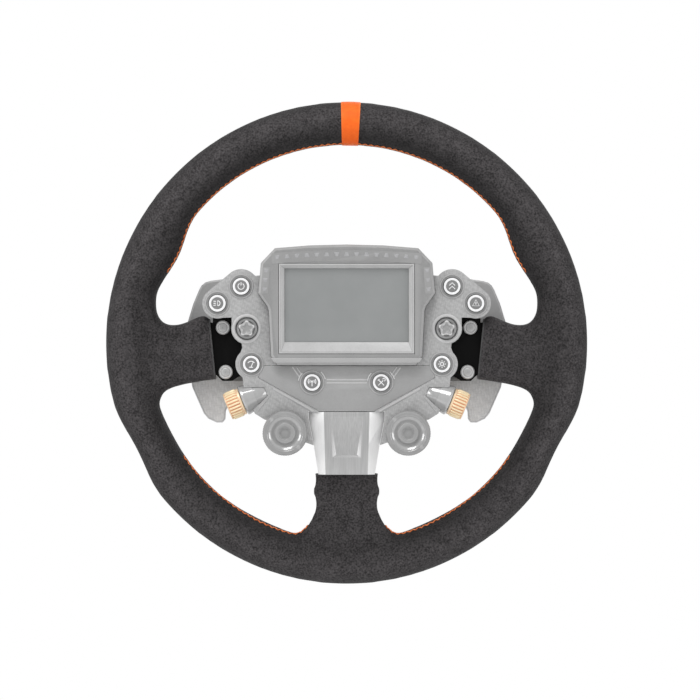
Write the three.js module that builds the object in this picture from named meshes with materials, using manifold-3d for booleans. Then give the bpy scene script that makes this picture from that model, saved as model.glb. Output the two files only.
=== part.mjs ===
// Racing wheel: a round suede rim on a three-armed plate, with a button hub,
// a dash display, rotary controls, paddles and a quick-release adapter.
// Millimetres, +Z up. The driver sits on the -Y side and the wheel turns about Y.
// The origin is the centre of the flat rear face of the quick-release adapter.

import * as THREE from 'three';
import { mergeVertices } from 'three/addons/utils/BufferGeometryUtils.js';
import Module from 'manifold-3d';

const wasm = await Module();
wasm.setup();

// ---------------------------------------------------------------- clearances
const GAP = 0.3;               // between pieces that seat on or pass through each other
const PIVOT_GAP = 0.35;        // round a part that turns or slides
const PAST = 1;                // how far a cutter runs past the face it cuts
const MERGE = 1e-4;
const ROUND = 16;               // sides of a round part
const SMALL_ROUND = 12;         // sides of a small pin, bore or bolt
const LARGE_ROUND = 28;         // sides of a large dial or collar

// --------------------------------------------------------- depth along Y axis
const ADAPTER_LENGTH = 44;
const COVER_THICKNESS = 3;
const CHASSIS_DEPTH = 20;
const PLATE_THICKNESS = 5;
const HOUSING_DEPTH = 10;
const FACING_THICKNESS = 2.2;
const DISPLAY_DEPTH = 9.4;
const NECK_DEPTH = 12.5;

const ADAPTER_FRONT = -ADAPTER_LENGTH;
const COVER_BACK = ADAPTER_FRONT - GAP;
const COVER_FRONT = COVER_BACK - COVER_THICKNESS;
const CHASSIS_BACK = COVER_FRONT - GAP;
const CHASSIS_FRONT = CHASSIS_BACK - CHASSIS_DEPTH;
const PLATE_BACK = CHASSIS_FRONT - GAP;
const PLATE_FRONT = PLATE_BACK - PLATE_THICKNESS;
const RIM_Y = (PLATE_BACK + PLATE_FRONT) / 2;
const HOUSING_BACK = PLATE_FRONT - GAP;
const HOUSING_FRONT = HOUSING_BACK - HOUSING_DEPTH;
const FACING_BACK = HOUSING_FRONT - GAP;
const FACING_FRONT = FACING_BACK - FACING_THICKNESS;
const DISPLAY_FRONT = FACING_BACK - DISPLAY_DEPTH;

// ----------------------------------------------------------------- rim, grip
const RIM_RADIUS = 165;
const GRIP_WIDTH = 29.3;       // across the grip, along the rim's radius
const GRIP_DEPTH = 32;         // across the grip, along Y
const THUMB_REST = 5.8;        // how far the thumb rests swell inward
const REST_ANGLE = 27;         // degrees above a side spoke's middle
const REST_REACH = 14;
const WAIST = 4;               // how far the outside dips below the spokes
const WAIST_ANGLE = -27;
const WAIST_REACH = 13;
const SKIN = 1.3;              // suede and its backing
const SPOKE_THICKNESS = 15;
const SPOKE_BEVEL = 3.5;
const SPOKE_END_X = 92;        // where the suede ends and the bare plate begins
const SPOKE_TOP_Z = 18.5;
const SPOKE_BOTTOM_Z = -25.4;
const LOWER_SPOKE_END_Z = -90.3;
const LOWER_SPOKE_HALF = 21.5;
const STRIPE_WIDTH = 12.5;
const STRIPE_OFFSET = 2.6;
const HOOP_WIDTH = 8;          // the plate's hoop inside the grip
const RIM_STEPS = 48;
const BEVEL_STEPS = 1;
const SECTION_STEPS = 10;
const RADIAL = GRIP_WIDTH / 2;
const HOOP_RADIUS = RIM_RADIUS - RADIAL;

// ------------------------------------------------------------ plate and bolts
const TAB_TOP_Z = 18.4;
const TAB_BOTTOM_Z = -26;
const ARM_HALF = 12;           // plate arm inside a side spoke
const ARM_Z = -5;
const HEEL_LENGTH = 6;         // wide part of the tab that the suede's end covers
const HEEL_TOP_Z = 14;
const HEEL_BOTTOM_Z = -21;
const LOWER_ARM_HALF = 15;
const PLATE_CENTRE_HALF = 44;
const PLATE_CENTRE_TOP = 38;
const PLATE_CENTRE_BOTTOM = -50;
const PLATE_CENTRE_TAPER = 20;  // height of the taper down to the lower arm
const BOLT_RADIUS = 2.5;
const BOLT_HEAD_RADIUS = 4.85;
const BOLT_HEAD_HEIGHT = 2.8;
const BOLT_CHAMFER = 1.2;
const BOLT_GRIP = 7;           // length in the chassis ear
const BOLTS = [['upper', 84.7, 10.6], ['lower', 82.8, -19.9]];
const CABLE_HOLE_RADIUS = 9;

// ------------------------------------------------------------- hub, by lobes
const LOBES = {
  top: [71.9, 38.6, 11.8],
  outer: [88.1, 27.0, 10.3],
  stick: [68.1, 9.8, 10.6],
  low: [65.0, -14.4, 10.8],
};
const DIAL_AT = [41.8, -61.3];
const DIAL_LOBE_RADIUS = 14.2;
const HOUSING_WALL = 2;
const HOUSING_FLOOR = 2;
const BOARD_THICKNESS = 1.6;
const WEB = [[-46, 47], [-66, 45.6], [-86, 24], [-86, 17.2], [-78.4, 17.4], [-78.4, 10], [-71.5, -0.6],
  [-71.2, -3.4], [-72.4, -6.5], [-64, -22], [-46, -22]];
const SHOULDER = [[-46, -8], [-66, -8], [-71, -23], [-70, -31], [-62.6, -48.1], [-56.1, -52.2], [-40, -56],
  [-40, -24]];
const DIAL_WEB = [[-40, -46], [-52, -54], [-42, -70], [-28, -67.8], [-18, -71.5], [-14, -46]];
const SPINE = [[-48, 60], [-48, -46.5], [48, -46.5], [48, 60]];

// --------------------------------------------------------- fascia under display
const FASCIA = [[-57, -15.6], [-60, -23.6], [-18.4, -46.5], [18.4, -46.5], [60, -23.6], [57, -15.6]];
const CENTRE_BUTTON_X = 23.55;
const CENTRE_BUTTON_Z = -26.95;

// ------------------------------------------------------------------- display
const DISPLAY_OUTLINE = [[-60.2, 33.8], [-54.1, 25.1], [-53, 22], [-51.4, -9], [-47, -15.2],
  [47, -15.2], [51.4, -9], [53, 22], [54.1, 25.1], [60.2, 33.8], [58.4, 54.4], [48.8, 64.5],
  [25, 66.4], [0, 67], [-25, 66.4], [-48.8, 64.5], [-58.4, 54.4]];
const BEZEL_HALF = 46.1;
const BEZEL_TOP = 54;
const BEZEL_BOTTOM = -7.3;
const SCREEN_HALF = 42.15;
const SCREEN_TOP = 50.6;
const SCREEN_BOTTOM = 0.75;
const DISPLAY_BEVEL = 1.6;
const BEZEL_RIM = 1.2;         // flat rim left in front of the bezel's slope
const SCREEN_RECESS = 3.4;
const GLASS_THICKNESS = 1.4;
const PANEL_THICKNESS = 2.2;
const GLASS_LIP = 1.4;
const LENS_DEPTH = 1.6;
const LENS_HALF = 50.5;
const LENS_TOP_Z = 62.6;
const LENS_BOTTOM_Z = 56.4;
const LENS_DROP = 2.2;         // how far the ends of the light bar lie below its middle
const SIDE_LENS = [[-56.6, 51], [-52.8, 51], [-53.9, 34], [-57.7, 34]];

// ------------------------------------------------------------------ controls
const BUTTON_RADIUS = 5.8;
const BUTTON_PROUD = 2.4;
const BUTTON_BODY = 3.2;       // length behind the facing
const BUTTON_CHAMFER = 0.6;
const BUTTONS = [['top', LOBES.top[0], LOBES.top[1]], ['outer', LOBES.outer[0], LOBES.outer[1]],
  ['low', LOBES.low[0], LOBES.low[1]], ['centre', CENTRE_BUTTON_X, CENTRE_BUTTON_Z]];
const STICK_WELL_RADIUS = 8;
const STICK_BOSS_WALL = 1.6;
const GIMBAL_RADIUS = 7.2;
const GIMBAL_THICKNESS = 2;
const CRADLE_RADIUS = 4.9;
const SHAFT_RADIUS = 2.1;
const SHAFT_LENGTH = 11;
const STICK_KNOB_RADIUS = 5.7;
const STICK_KNOB_HEIGHT = 6.2;
const STICK_LOBES = 5;
const STICK_LOBE_DEPTH = 0.9;
const STICK_CAP = 1.6;
const STICK_BEVEL = 0.8;
const STICK_DEPTH = 0.5;       // how far the knob's back lies behind the facing's front
const STICK_PIVOT_DEPTH = 2;   // how far the pivot lies behind the facing's back
const THUMB_AT = [76.3, -41.7];
const THUMB_TILT = 22;         // degrees below the horizontal, outward
const THUMB_RADIUS = 9.9;
const THUMB_LENGTH = 10.8;
const THUMB_CHAMFER = 0.8;
const THUMB_AHEAD = 1.5;       // axis ahead of the housing's mid-depth
const POD_RADIUS = 10.4;
const POD_BAND = 2;            // straight band at the wide end
const POD_CHAMFER = 0.8;
const POD_INNER_RADIUS = 6.4;
const POD_LENGTH = 17;
const POD_SHAFT_RADIUS = 3;
const POD_SHAFT_LENGTH = 7;
const DIAL_RADIUS = 15.4;
const DIAL_HEIGHT = 13;
const DIAL_BASE_RADIUS = 12.5;
const DIAL_BASE_HEIGHT = 4;
const DIAL_SHAFT_RADIUS = 3;
const DIAL_SHAFT_LENGTH = 8;
const DIAL_DISH_RADIUS = 11.4;
const DIAL_DISH_DEPTH = 1.2;
const DIAL_DISH_SLOPE = 1;
const DIAL_CHAMFER = 1.5;

// ---------------------------------------------------------------------- neck
const NECK_TOP = -47;
const NECK_MIDDLE = -69;
const NECK_BOTTOM = -89.8;
const NECK_HALF = [26, 22.6, 19.2];      // at the top, the middle and the bottom
const NECK_FACE_HALF = [15.6, 14.4];     // flat centre, at the top and the bottom
const NECK_EDGE = 8;                     // thickness left at the outer edges
const NECK_DISH = [[-11.3, -50.5], [-8.9, -77.3], [8.9, -77.3], [11.3, -50.5]];
const NECK_DISH_DEPTH = 2;

// ------------------------------------------------------------------- chassis
const CHASSIS_HALF = 48;
const CHASSIS_TOP = 54;
const CHASSIS_BOTTOM = -44;
const CHASSIS_CORNER = 10;
const CHASSIS_WALL = 2.5;
const CHASSIS_SKIN = 3;
const EAR_RADIUS = 6.2;
const EAR_DEPTH = 8;
const SOCKET = { half: 5, height: 4.6, depth: 8, wall: 0.8, z: -34 };

// ------------------------------------------------------------------- paddles
const PADDLE_THICKNESS = 3;
const PADDLE_BEVEL = 0.8;
const PADDLE_Y = CHASSIS_BACK - 3.4;
const PIN_X = 57;
const PIN_RADIUS = 1.5;
const BARREL_RADIUS = 3.6;
const LUG_RADIUS = 4;
const LUG_HEIGHT = 4;
const BRACKET = { wall: 2, ahead: 4, behind: 1 };
const SHIFT_BARREL = [9, 38];
const CLUTCH_BARREL = [-30, 2];
const SHIFT_BLADE = [[-57, 34], [-70, 42.5], [-83.6, 44.4], [-94, 43], [-97.6, 41.9], [-100.2, 39.8],
  [-102, 36.6], [-106, 27], [-109.8, 14.5], [-110.6, 8], [-107, 4.6], [-57, 11]];
const CLUTCH_BLADE = [[-57, 0], [-100, 0], [-107.4, -6], [-108.4, -20], [-106.6, -30.5], [-98.7, -48.4],
  [-95.5, -52.2], [-89.8, -54.9], [-85.7, -54.9], [-83.7, -52.5], [-83.4, -47], [-79, -37],
  [-69, -34], [-62.5, -29], [-57, -28.5]];

// ------------------------------------------------------ quick-release adapter
const FLANGE_RADIUS = 35;
const FLANGE_THICKNESS = 6;
const BARREL_OUTER = 24;
const SHOULDER_RADIUS = 27.5;
const COLLAR_RADIUS = 32;
const COLLAR_LENGTH = 15;
const COLLAR_BACK = -5;
const COLLAR_TRAVEL_ROOM = 10;  // between the collar and the shoulder
const END_CHAMFER = 1.2;

// ----------------------------------------------------------------- materials
const FINISHES = {
  suede: [0x38383b, 0.95, 0],
  foam: [0x2a2a2c, 0.9, 0],
  stripe: [0xf06a1e, 0.8, 0],
  plate: [0x0c0c0e, 0.45, 0.6],
  bolt: [0xb9bbbd, 0.3, 0.9],
  housing: [0x9b9b9c, 0.5, 0.1],
  carbon: [0xa3a3a4, 0.4, 0.2],
  fascia: [0xa1a1a1, 0.5, 0.1],
  bezel: [0xaaaaaa, 0.35, 0.1],
  glass: [0x999b9b, 0.1, 0],
  panel: [0x8f9192, 0.3, 0],
  lens: [0xb4b5b6, 0.25, 0],
  neck: [0xc4c4c4, 0.35, 0.8],
  button: [0xf0f0f0, 0.4, 0],
  stick: [0x8d8d8e, 0.5, 0.1],
  steel: [0xa8a8aa, 0.35, 0.9],
  thumb: [0xf6c689, 0.35, 0.7],
  pod: [0x9d9d9f, 0.15, 0.2],
  dial: [0x909092, 0.35, 0.4],
  chassis: [0x8f9092, 0.5, 0.6],
  board: [0x3d6b4a, 0.6, 0],
  blade: [0xa5a5a6, 0.4, 0.2],
};

// ------------------------------------------------------------------- helpers
const group = new THREE.Group();

// A closed geometry as a solid that can be joined and cut.
function solidOf(geometry) {
  geometry.deleteAttribute('normal');
  geometry.deleteAttribute('uv');
  const merged = mergeVertices(geometry, MERGE);
  const index = merged.index.array;
  const kept = [];
  for (let i = 0; i < index.length; i += 3) {
    const [a, b, c] = [index[i], index[i + 1], index[i + 2]];
    if (a !== b && b !== c && c !== a) kept.push(a, b, c);
  }
  const mesh = new wasm.Mesh({
    numProp: 3,
    vertProperties: merged.attributes.position.array,
    triVerts: new Uint32Array(kept),
  });
  return new wasm.Manifold(mesh);
}

function geometryOf(solid) {
  const mesh = solid.getMesh();
  const geometry = new THREE.BufferGeometry();
  const position = new THREE.BufferAttribute(new Float32Array(mesh.vertProperties), 3);
  geometry.setAttribute('position', position);
  geometry.setIndex(new THREE.BufferAttribute(new Uint32Array(mesh.triVerts), 1));
  geometry.computeVertexNormals();
  return geometry;
}

function add(name, finish, solid) {
  const [color, roughness, metalness] = FINISHES[finish];
  const material = new THREE.MeshStandardMaterial({ color, roughness, metalness });
  const mesh = new THREE.Mesh(geometryOf(solid), material);
  mesh.name = name;
  group.add(mesh);
}

function joined(solids) {
  return solids.reduce((whole, solid) => whole.add(solid));
}

const mirrored = (points) => points.map(([x, z]) => [-x, z]).reverse();

// Moves every edge of an anticlockwise outline outward by the given distance.
function grown(points, distance) {
  const count = points.length;
  const normal = (a, b) => {
    const length = Math.hypot(b[0] - a[0], b[1] - a[1]);
    return [(b[1] - a[1]) / length, (a[0] - b[0]) / length];
  };
  return points.map((point, i) => {
    const before = normal(points[(i + count - 1) % count], point);
    const after = normal(point, points[(i + 1) % count]);
    const share = distance / (1 + before[0] * after[0] + before[1] * after[1]);
    return [point[0] + (before[0] + after[0]) * share, point[1] + (before[1] + after[1]) * share];
  });
}

// Outlines are drawn in X and Z. They run anticlockwise as the driver sees them.
function anticlockwise(points) {
  const shape = points.map(([x, z]) => new THREE.Vector2(x, z));
  return THREE.ShapeUtils.isClockWise(shape) ? [...points].reverse() : points;
}

// A flat piece of the given outline, from its front face to its back face.
function plate(points, front, back, grow = 0, bevel = 0) {
  const outline = grown(anticlockwise(points), grow).map(([x, z]) => new THREE.Vector2(x, z));
  const geometry = new THREE.ExtrudeGeometry(new THREE.Shape(outline), {
    depth: back - front - 2 * bevel,
    bevelEnabled: bevel > 0,
    bevelThickness: bevel,
    bevelSize: bevel,
    bevelOffset: -bevel,
    bevelSegments: BEVEL_STEPS,
  });
  geometry.rotateX(Math.PI / 2);
  geometry.translate(0, back - bevel, 0);
  return solidOf(geometry);
}

// A cylinder along Y.
function disc(x, z, radius, front, back, sides = ROUND) {
  const geometry = new THREE.CylinderGeometry(radius, radius, back - front, sides);
  geometry.translate(x, (front + back) / 2, z);
  return solidOf(geometry);
}

// A solid of revolution about Y. The profile lists radius and Y, rising in Y on its outside.
function turned(profile, x = 0, z = 0, sides = ROUND) {
  const points = profile.map(([radius, y]) => new THREE.Vector2(radius, y));
  const geometry = new THREE.LatheGeometry(points, sides);
  geometry.translate(x, 0, z);
  return solidOf(geometry);
}

function box(left, right, front, back, bottom, top) {
  const geometry = new THREE.BoxGeometry(right - left, back - front, top - bottom);
  geometry.translate((left + right) / 2, (front + back) / 2, (bottom + top) / 2);
  return solidOf(geometry);
}

// The tapered link that joins two lobes along their outside tangents.
function link([ax, az, ar], [bx, bz, br]) {
  const along = Math.atan2(bz - az, bx - ax);
  const lean = Math.acos((ar - br) / Math.hypot(bx - ax, bz - az));
  const at = (x, z, r, angle) => [x + r * Math.cos(angle), z + r * Math.sin(angle)];
  return [at(ax, az, ar, along - lean), at(bx, bz, br, along - lean),
    at(bx, bz, br, along + lean), at(ax, az, ar, along + lean)];
}

const SIDES = [['left', -1], ['right', 1]];
const onSide = (points, side) => (side < 0 ? points : mirrored(points));

// ----------------------------------------------------------------- rim, grip
const degrees = (angle) => angle * Math.PI / 180;

// One smooth swelling, 1 at its centre and 0 beyond its reach. Angles are in degrees.
function swelling(angle, centre, reach) {
  const away = Math.abs(angle - centre);
  return away < reach ? Math.cos((away / reach) * Math.PI / 2) ** 2 : 0;
}

// The round grip, shrunk by the given distance all round its section.
function ring(inset) {
  const profile = [];
  for (let i = 0; i <= SECTION_STEPS; i += 1) {
    const turn = (i / SECTION_STEPS) * 2 * Math.PI;
    const radius = HOOP_RADIUS + (RADIAL - inset) * Math.cos(turn);
    profile.push(new THREE.Vector2(radius, RIM_Y + (GRIP_DEPTH / 2 - inset) * Math.sin(turn)));
  }
  const geometry = new THREE.LatheGeometry(profile, RIM_STEPS);
  const position = geometry.attributes.position;
  for (let i = 0; i < position.count; i += 1) {
    const x = position.getX(i);
    const z = position.getZ(i);
    const radius = Math.hypot(x, z);
    const aside = THREE.MathUtils.radToDeg(Math.atan2(z, Math.abs(x)));
    const inward = (HOOP_RADIUS + RADIAL - radius) / GRIP_WIDTH;
    const rest = THUMB_REST * swelling(aside, REST_ANGLE, REST_REACH) * inward;
    const dip = WAIST * swelling(aside, WAIST_ANGLE, WAIST_REACH) * (1 - inward);
    const scale = (radius - rest - dip) / radius;
    position.setX(i, x * scale);
    position.setZ(i, z * scale);
  }
  return solidOf(geometry);
}

// A side spoke's outline on the left. Its root runs into the middle of the grip.
function sideSpoke(inset, reach) {
  const end = reach + inset - SPOKE_END_X;
  const tip = -SPOKE_END_X;
  const root = -HOOP_RADIUS;
  const corner = -(HOOP_RADIUS - RADIAL);
  return [
    [end, SPOKE_BOTTOM_Z], [tip - 6, SPOKE_BOTTOM_Z], [tip - 19, SPOKE_BOTTOM_Z - 2.6],
    [corner + 15.8, SPOKE_BOTTOM_Z - 4.6], [corner + 10.5, SPOKE_BOTTOM_Z - 7.4],
    [corner + 6.5, SPOKE_BOTTOM_Z - 14], [root, SPOKE_BOTTOM_Z - 16],
    [root, SPOKE_TOP_Z + 14], [corner + 4, SPOKE_TOP_Z + 12], [corner + 5.2, SPOKE_TOP_Z + 2.5],
    [corner + 8.8, SPOKE_TOP_Z - 4.8], [corner + 13, SPOKE_TOP_Z - 6.8], [corner + 18, SPOKE_TOP_Z - 7],
    [tip - 18.4, SPOKE_TOP_Z - 5.1], [tip - 12, SPOKE_TOP_Z - 1.8], [tip - 6, SPOKE_TOP_Z],
    [end, SPOKE_TOP_Z],
  ];
}

// The lower spoke's outline, from the end by the hub to the middle of the grip.
function lowerSpoke(inset, reach) {
  const end = LOWER_SPOKE_END_Z + reach + inset;
  const corner = -(HOOP_RADIUS - RADIAL);
  const half = [
    [LOWER_SPOKE_HALF, end], [LOWER_SPOKE_HALF, LOWER_SPOKE_END_Z - 5],
    [LOWER_SPOKE_HALF - 1.7, LOWER_SPOKE_END_Z - 10.7],
    [LOWER_SPOKE_HALF - 1.7, corner + 24.8], [LOWER_SPOKE_HALF + 1, corner + 16.5],
    [LOWER_SPOKE_HALF + 4.4, corner + 11.2], [LOWER_SPOKE_HALF + 10, corner + 6],
    [LOWER_SPOKE_HALF + 10, -HOOP_RADIUS],
  ];
  return [...half, ...mirrored(half)];
}

// Grip and covered spokes as one shape. reach lengthens the spokes past their ends.
function grip(inset, reach) {
  const front = RIM_Y - SPOKE_THICKNESS / 2 + inset;
  const back = RIM_Y + SPOKE_THICKNESS / 2 - inset;
  const bevel = Math.max(SPOKE_BEVEL - inset, MERGE);
  const side = sideSpoke(inset, reach);
  const spokes = [side, mirrored(side), lowerSpoke(inset, reach)];
  return joined([ring(inset), ...spokes.map((points) => plate(points, front, back, -inset, bevel))]);
}

// The three-armed plate with its hoop, grown for the cut that it needs in the foam.
function rimPlate(grow) {
  const front = PLATE_FRONT - grow;
  const back = PLATE_BACK + grow;
  const outer = HOOP_RADIUS + HOOP_WIDTH / 2 + grow;
  const inner = HOOP_RADIUS - HOOP_WIDTH / 2 - grow;
  const hoop = disc(0, 0, outer, front, back, RIM_STEPS).subtract(
    disc(0, 0, inner, front - PAST, back + PAST, RIM_STEPS));
  const shoulder = -(SPOKE_END_X - GAP);
  const arm = [[shoulder + PAST, ARM_Z + ARM_HALF], [-HOOP_RADIUS, ARM_Z + ARM_HALF],
    [-HOOP_RADIUS, ARM_Z - ARM_HALF], [shoulder + PAST, ARM_Z - ARM_HALF]];
  const root = -(PLATE_CENTRE_HALF - PAST);
  const lobe = -BOLTS[1][1];
  const heelEnd = -(SPOKE_END_X + HEEL_LENGTH);
  const heel = [[shoulder + PAST, HEEL_TOP_Z], [heelEnd, HEEL_TOP_Z], [heelEnd, HEEL_BOTTOM_Z],
    [shoulder + PAST, HEEL_BOTTOM_Z]];
  const tab = [[root, TAB_TOP_Z], [shoulder, TAB_TOP_Z], [shoulder, TAB_BOTTOM_Z + 6],
    [lobe - 6.4, TAB_BOTTOM_Z + 3.9], [lobe - 2.3, TAB_BOTTOM_Z], [lobe + 4.3, TAB_BOTTOM_Z],
    [lobe + 8.8, TAB_BOTTOM_Z + 3], [root, TAB_BOTTOM_Z + 3]];
  const taperTop = PLATE_CENTRE_BOTTOM + PLATE_CENTRE_TAPER;
  const halfCentre = [[-PLATE_CENTRE_HALF, PLATE_CENTRE_TOP], [-PLATE_CENTRE_HALF, taperTop],
    [-LOWER_ARM_HALF, PLATE_CENTRE_BOTTOM], [-LOWER_ARM_HALF, -HOOP_RADIUS]];
  const centre = [...halfCentre, ...mirrored(halfCentre)];
  const outlines = [arm, mirrored(arm), heel, mirrored(heel), tab, mirrored(tab), centre];
  const arms = outlines.map((points) => plate(points, front, back, grow));
  return joined([hoop, ...arms]);
}

function addRim() {
  const whole = grip(0, 0);
  const inside = grip(SKIN, SPOKE_THICKNESS);
  const skin = whole.subtract(inside);
  const stripe = (extra) => box(
    STRIPE_OFFSET - STRIPE_WIDTH / 2 - extra, STRIPE_OFFSET + STRIPE_WIDTH / 2 + extra,
    RIM_Y - GRIP_DEPTH, RIM_Y + GRIP_DEPTH, HOOP_RADIUS - GRIP_WIDTH, RIM_RADIUS + GRIP_WIDTH);
  add('suede_cover', 'suede', skin.subtract(stripe(GAP)));
  add('centre_stripe', 'stripe', skin.intersect(stripe(0)));
  add('foam_grip', 'foam', grip(SKIN + GAP, 0).subtract(rimPlate(GAP)));
  let drilled = rimPlate(0).subtract(disc(0, 0, CABLE_HOLE_RADIUS, PLATE_FRONT - PAST, PLATE_BACK + PAST));
  for (const [, side] of SIDES) {
    for (const [, x, z] of BOLTS) {
      drilled = drilled.subtract(
        disc(side * x, z, BOLT_RADIUS + GAP, PLATE_FRONT - PAST, PLATE_BACK + PAST, SMALL_ROUND));
    }
  }
  add('rim_plate', 'plate', drilled);
}

function addBolts() {
  for (const [name, side] of SIDES) {
    for (const [level, x, z] of BOLTS) {
      const seat = PLATE_FRONT - GAP;
      const top = seat - BOLT_HEAD_HEIGHT;
      const bolt = turned([[0, top], [BOLT_HEAD_RADIUS - BOLT_CHAMFER, top],
        [BOLT_HEAD_RADIUS, top + BOLT_CHAMFER], [BOLT_HEAD_RADIUS, seat],
        [BOLT_RADIUS, seat], [BOLT_RADIUS, CHASSIS_FRONT + BOLT_GRIP], [0, CHASSIS_FRONT + BOLT_GRIP]],
      side * x, z, SMALL_ROUND);
      add(`rim_bolt_${name}_${level}`, 'bolt', bolt);
    }
  }
}

// ----------------------------------------------------------------------- hub
// The hub's outline in plan, shrunk by the given wall, as flat solids between two faces.
function hubBody(front, back, inset) {
  const solids = [plate(SPINE, front, back, -inset)];
  for (const [, side] of SIDES) {
    for (const [x, z, radius] of Object.values(LOBES)) {
      solids.push(disc(side * x, z, radius - inset, front, back));
    }
    const tangent = link(LOBES.top, LOBES.outer).map(([x, z]) => [side * x, z]);
    solids.push(plate(tangent, front, back, -inset));
    solids.push(disc(side * DIAL_AT[0], DIAL_AT[1], DIAL_LOBE_RADIUS - inset, front, back));
    for (const points of [WEB, SHOULDER, DIAL_WEB]) {
      solids.push(plate(onSide(points, side), front, back, -inset));
    }
  }
  solids.push(plate(grown(anticlockwise(DISPLAY_OUTLINE), -PAST), front, back, -inset));
  return joined(solids);
}

// The thumb knob's axis, as a direction that points outward.
function thumbAxis(side) {
  const tilt = degrees(THUMB_TILT);
  return new THREE.Vector3(side * Math.cos(tilt), 0, -Math.sin(tilt));
}

const THUMB_Y = (HOUSING_BACK + HOUSING_FRONT) / 2 - THUMB_AHEAD;

// A turned piece whose profile axis points outward along the thumb knob's axis.
// Profile distances are measured from the knob's middle, outward.
function onThumbAxis(profile, side) {
  const points = profile.map(([radius, along]) => new THREE.Vector2(radius, along));
  const geometry = new THREE.LatheGeometry(points, ROUND);
  const turn = new THREE.Quaternion().setFromUnitVectors(new THREE.Vector3(0, 1, 0), thumbAxis(side));
  geometry.applyQuaternion(turn);
  geometry.translate(side * THUMB_AT[0], THUMB_Y, THUMB_AT[1]);
  return solidOf(geometry);
}

const POD_FACE = -THUMB_LENGTH / 2 - PIVOT_GAP;

function pod(side, grow) {
  const inner = POD_FACE - POD_LENGTH - grow;
  return onThumbAxis([[0, inner], [POD_INNER_RADIUS + grow, inner],
    [POD_RADIUS + grow, POD_FACE - POD_BAND], [POD_RADIUS + grow, POD_FACE - POD_CHAMFER],
    [POD_RADIUS + grow - POD_CHAMFER, POD_FACE + grow], [0, POD_FACE + grow]], side);
}

function neckOutline(grow) {
  const half = [[NECK_HALF[0], NECK_TOP], [NECK_HALF[0], NECK_TOP - 4], [NECK_HALF[1], NECK_MIDDLE],
    [NECK_HALF[2], NECK_BOTTOM]];
  return grown(anticlockwise([...half, ...mirrored(half)]), grow);
}

function addHousing() {
  let housing = hubBody(HOUSING_FRONT, HOUSING_BACK, 0);
  const floor = HOUSING_BACK - HOUSING_FLOOR;
  let pocket = hubBody(HOUSING_FRONT - PAST, floor, HOUSING_WALL);
  for (const [, side] of SIDES) {
    const [x, z] = LOBES.stick;
    const bore = GIMBAL_RADIUS + GAP;
    const boss = disc(side * x, z, bore + STICK_BOSS_WALL, HOUSING_FRONT, floor).subtract(
      disc(side * x, z, bore, HOUSING_FRONT - PAST, floor + PAST));
    pocket = pocket.subtract(boss);
    const [dx, dz] = DIAL_AT;
    pocket = pocket.subtract(disc(side * dx, dz, DIAL_BASE_RADIUS, HOUSING_FRONT - 2 * PAST, floor + PAST));
  }
  housing = housing.subtract(pocket);
  housing = housing.subtract(plate(neckOutline(GAP), HOUSING_FRONT - PAST, HOUSING_BACK + PAST));
  housing = housing.subtract(disc(0, 0, CABLE_HOLE_RADIUS, HOUSING_FRONT, HOUSING_BACK + PAST));
  for (const [, side] of SIDES) {
    housing = housing.subtract(pod(side, GAP));
    const spoke = onSide(sideSpoke(0, 0), side);
    housing = housing.subtract(plate(spoke, HOUSING_FRONT - PAST, HOUSING_BACK + PAST, GAP));
  }
  add('front_housing', 'housing', housing);
}

// A board on the housing's floor under each group of buttons.
function addButtonBoards() {
  const back = HOUSING_BACK - HOUSING_FLOOR - GAP;
  const inset = HOUSING_WALL + GAP;
  for (const [name, side] of SIDES) {
    const pieces = ['top', 'outer'].map((key) => {
      const [x, z, radius] = LOBES[key];
      return disc(side * x, z, radius - inset, back - BOARD_THICKNESS, back);
    });
    const tangent = link(LOBES.top, LOBES.outer).map(([x, z]) => [side * x, z]);
    pieces.push(plate(tangent, back - BOARD_THICKNESS, back, -inset));
    pieces.push(plate(onSide(WEB, side), back - BOARD_THICKNESS, back, -inset));
    const [lx, lz, lowRadius] = LOBES.low;
    pieces.push(disc(side * lx, lz, lowRadius - inset, back - BOARD_THICKNESS, back));
    const [x, z] = LOBES.stick;
    const keep = GIMBAL_RADIUS + GAP + STICK_BOSS_WALL + GAP;
    const board = joined(pieces).subtract(disc(side * x, z, keep, back - 2 * BOARD_THICKNESS, back + PAST));
    add(`button_board_${name}`, 'board', board);
  }
}

function buttonBores(solid, front, back) {
  let bored = solid;
  for (const [, side] of SIDES) {
    for (const [, x, z] of BUTTONS) {
      bored = bored.subtract(disc(side * x, z, BUTTON_RADIUS + PIVOT_GAP, front - PAST, back + PAST));
    }
    const [sx, sz] = LOBES.stick;
    bored = bored.subtract(disc(side * sx, sz, STICK_WELL_RADIUS, front - PAST, back + PAST));
  }
  return bored;
}

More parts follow.
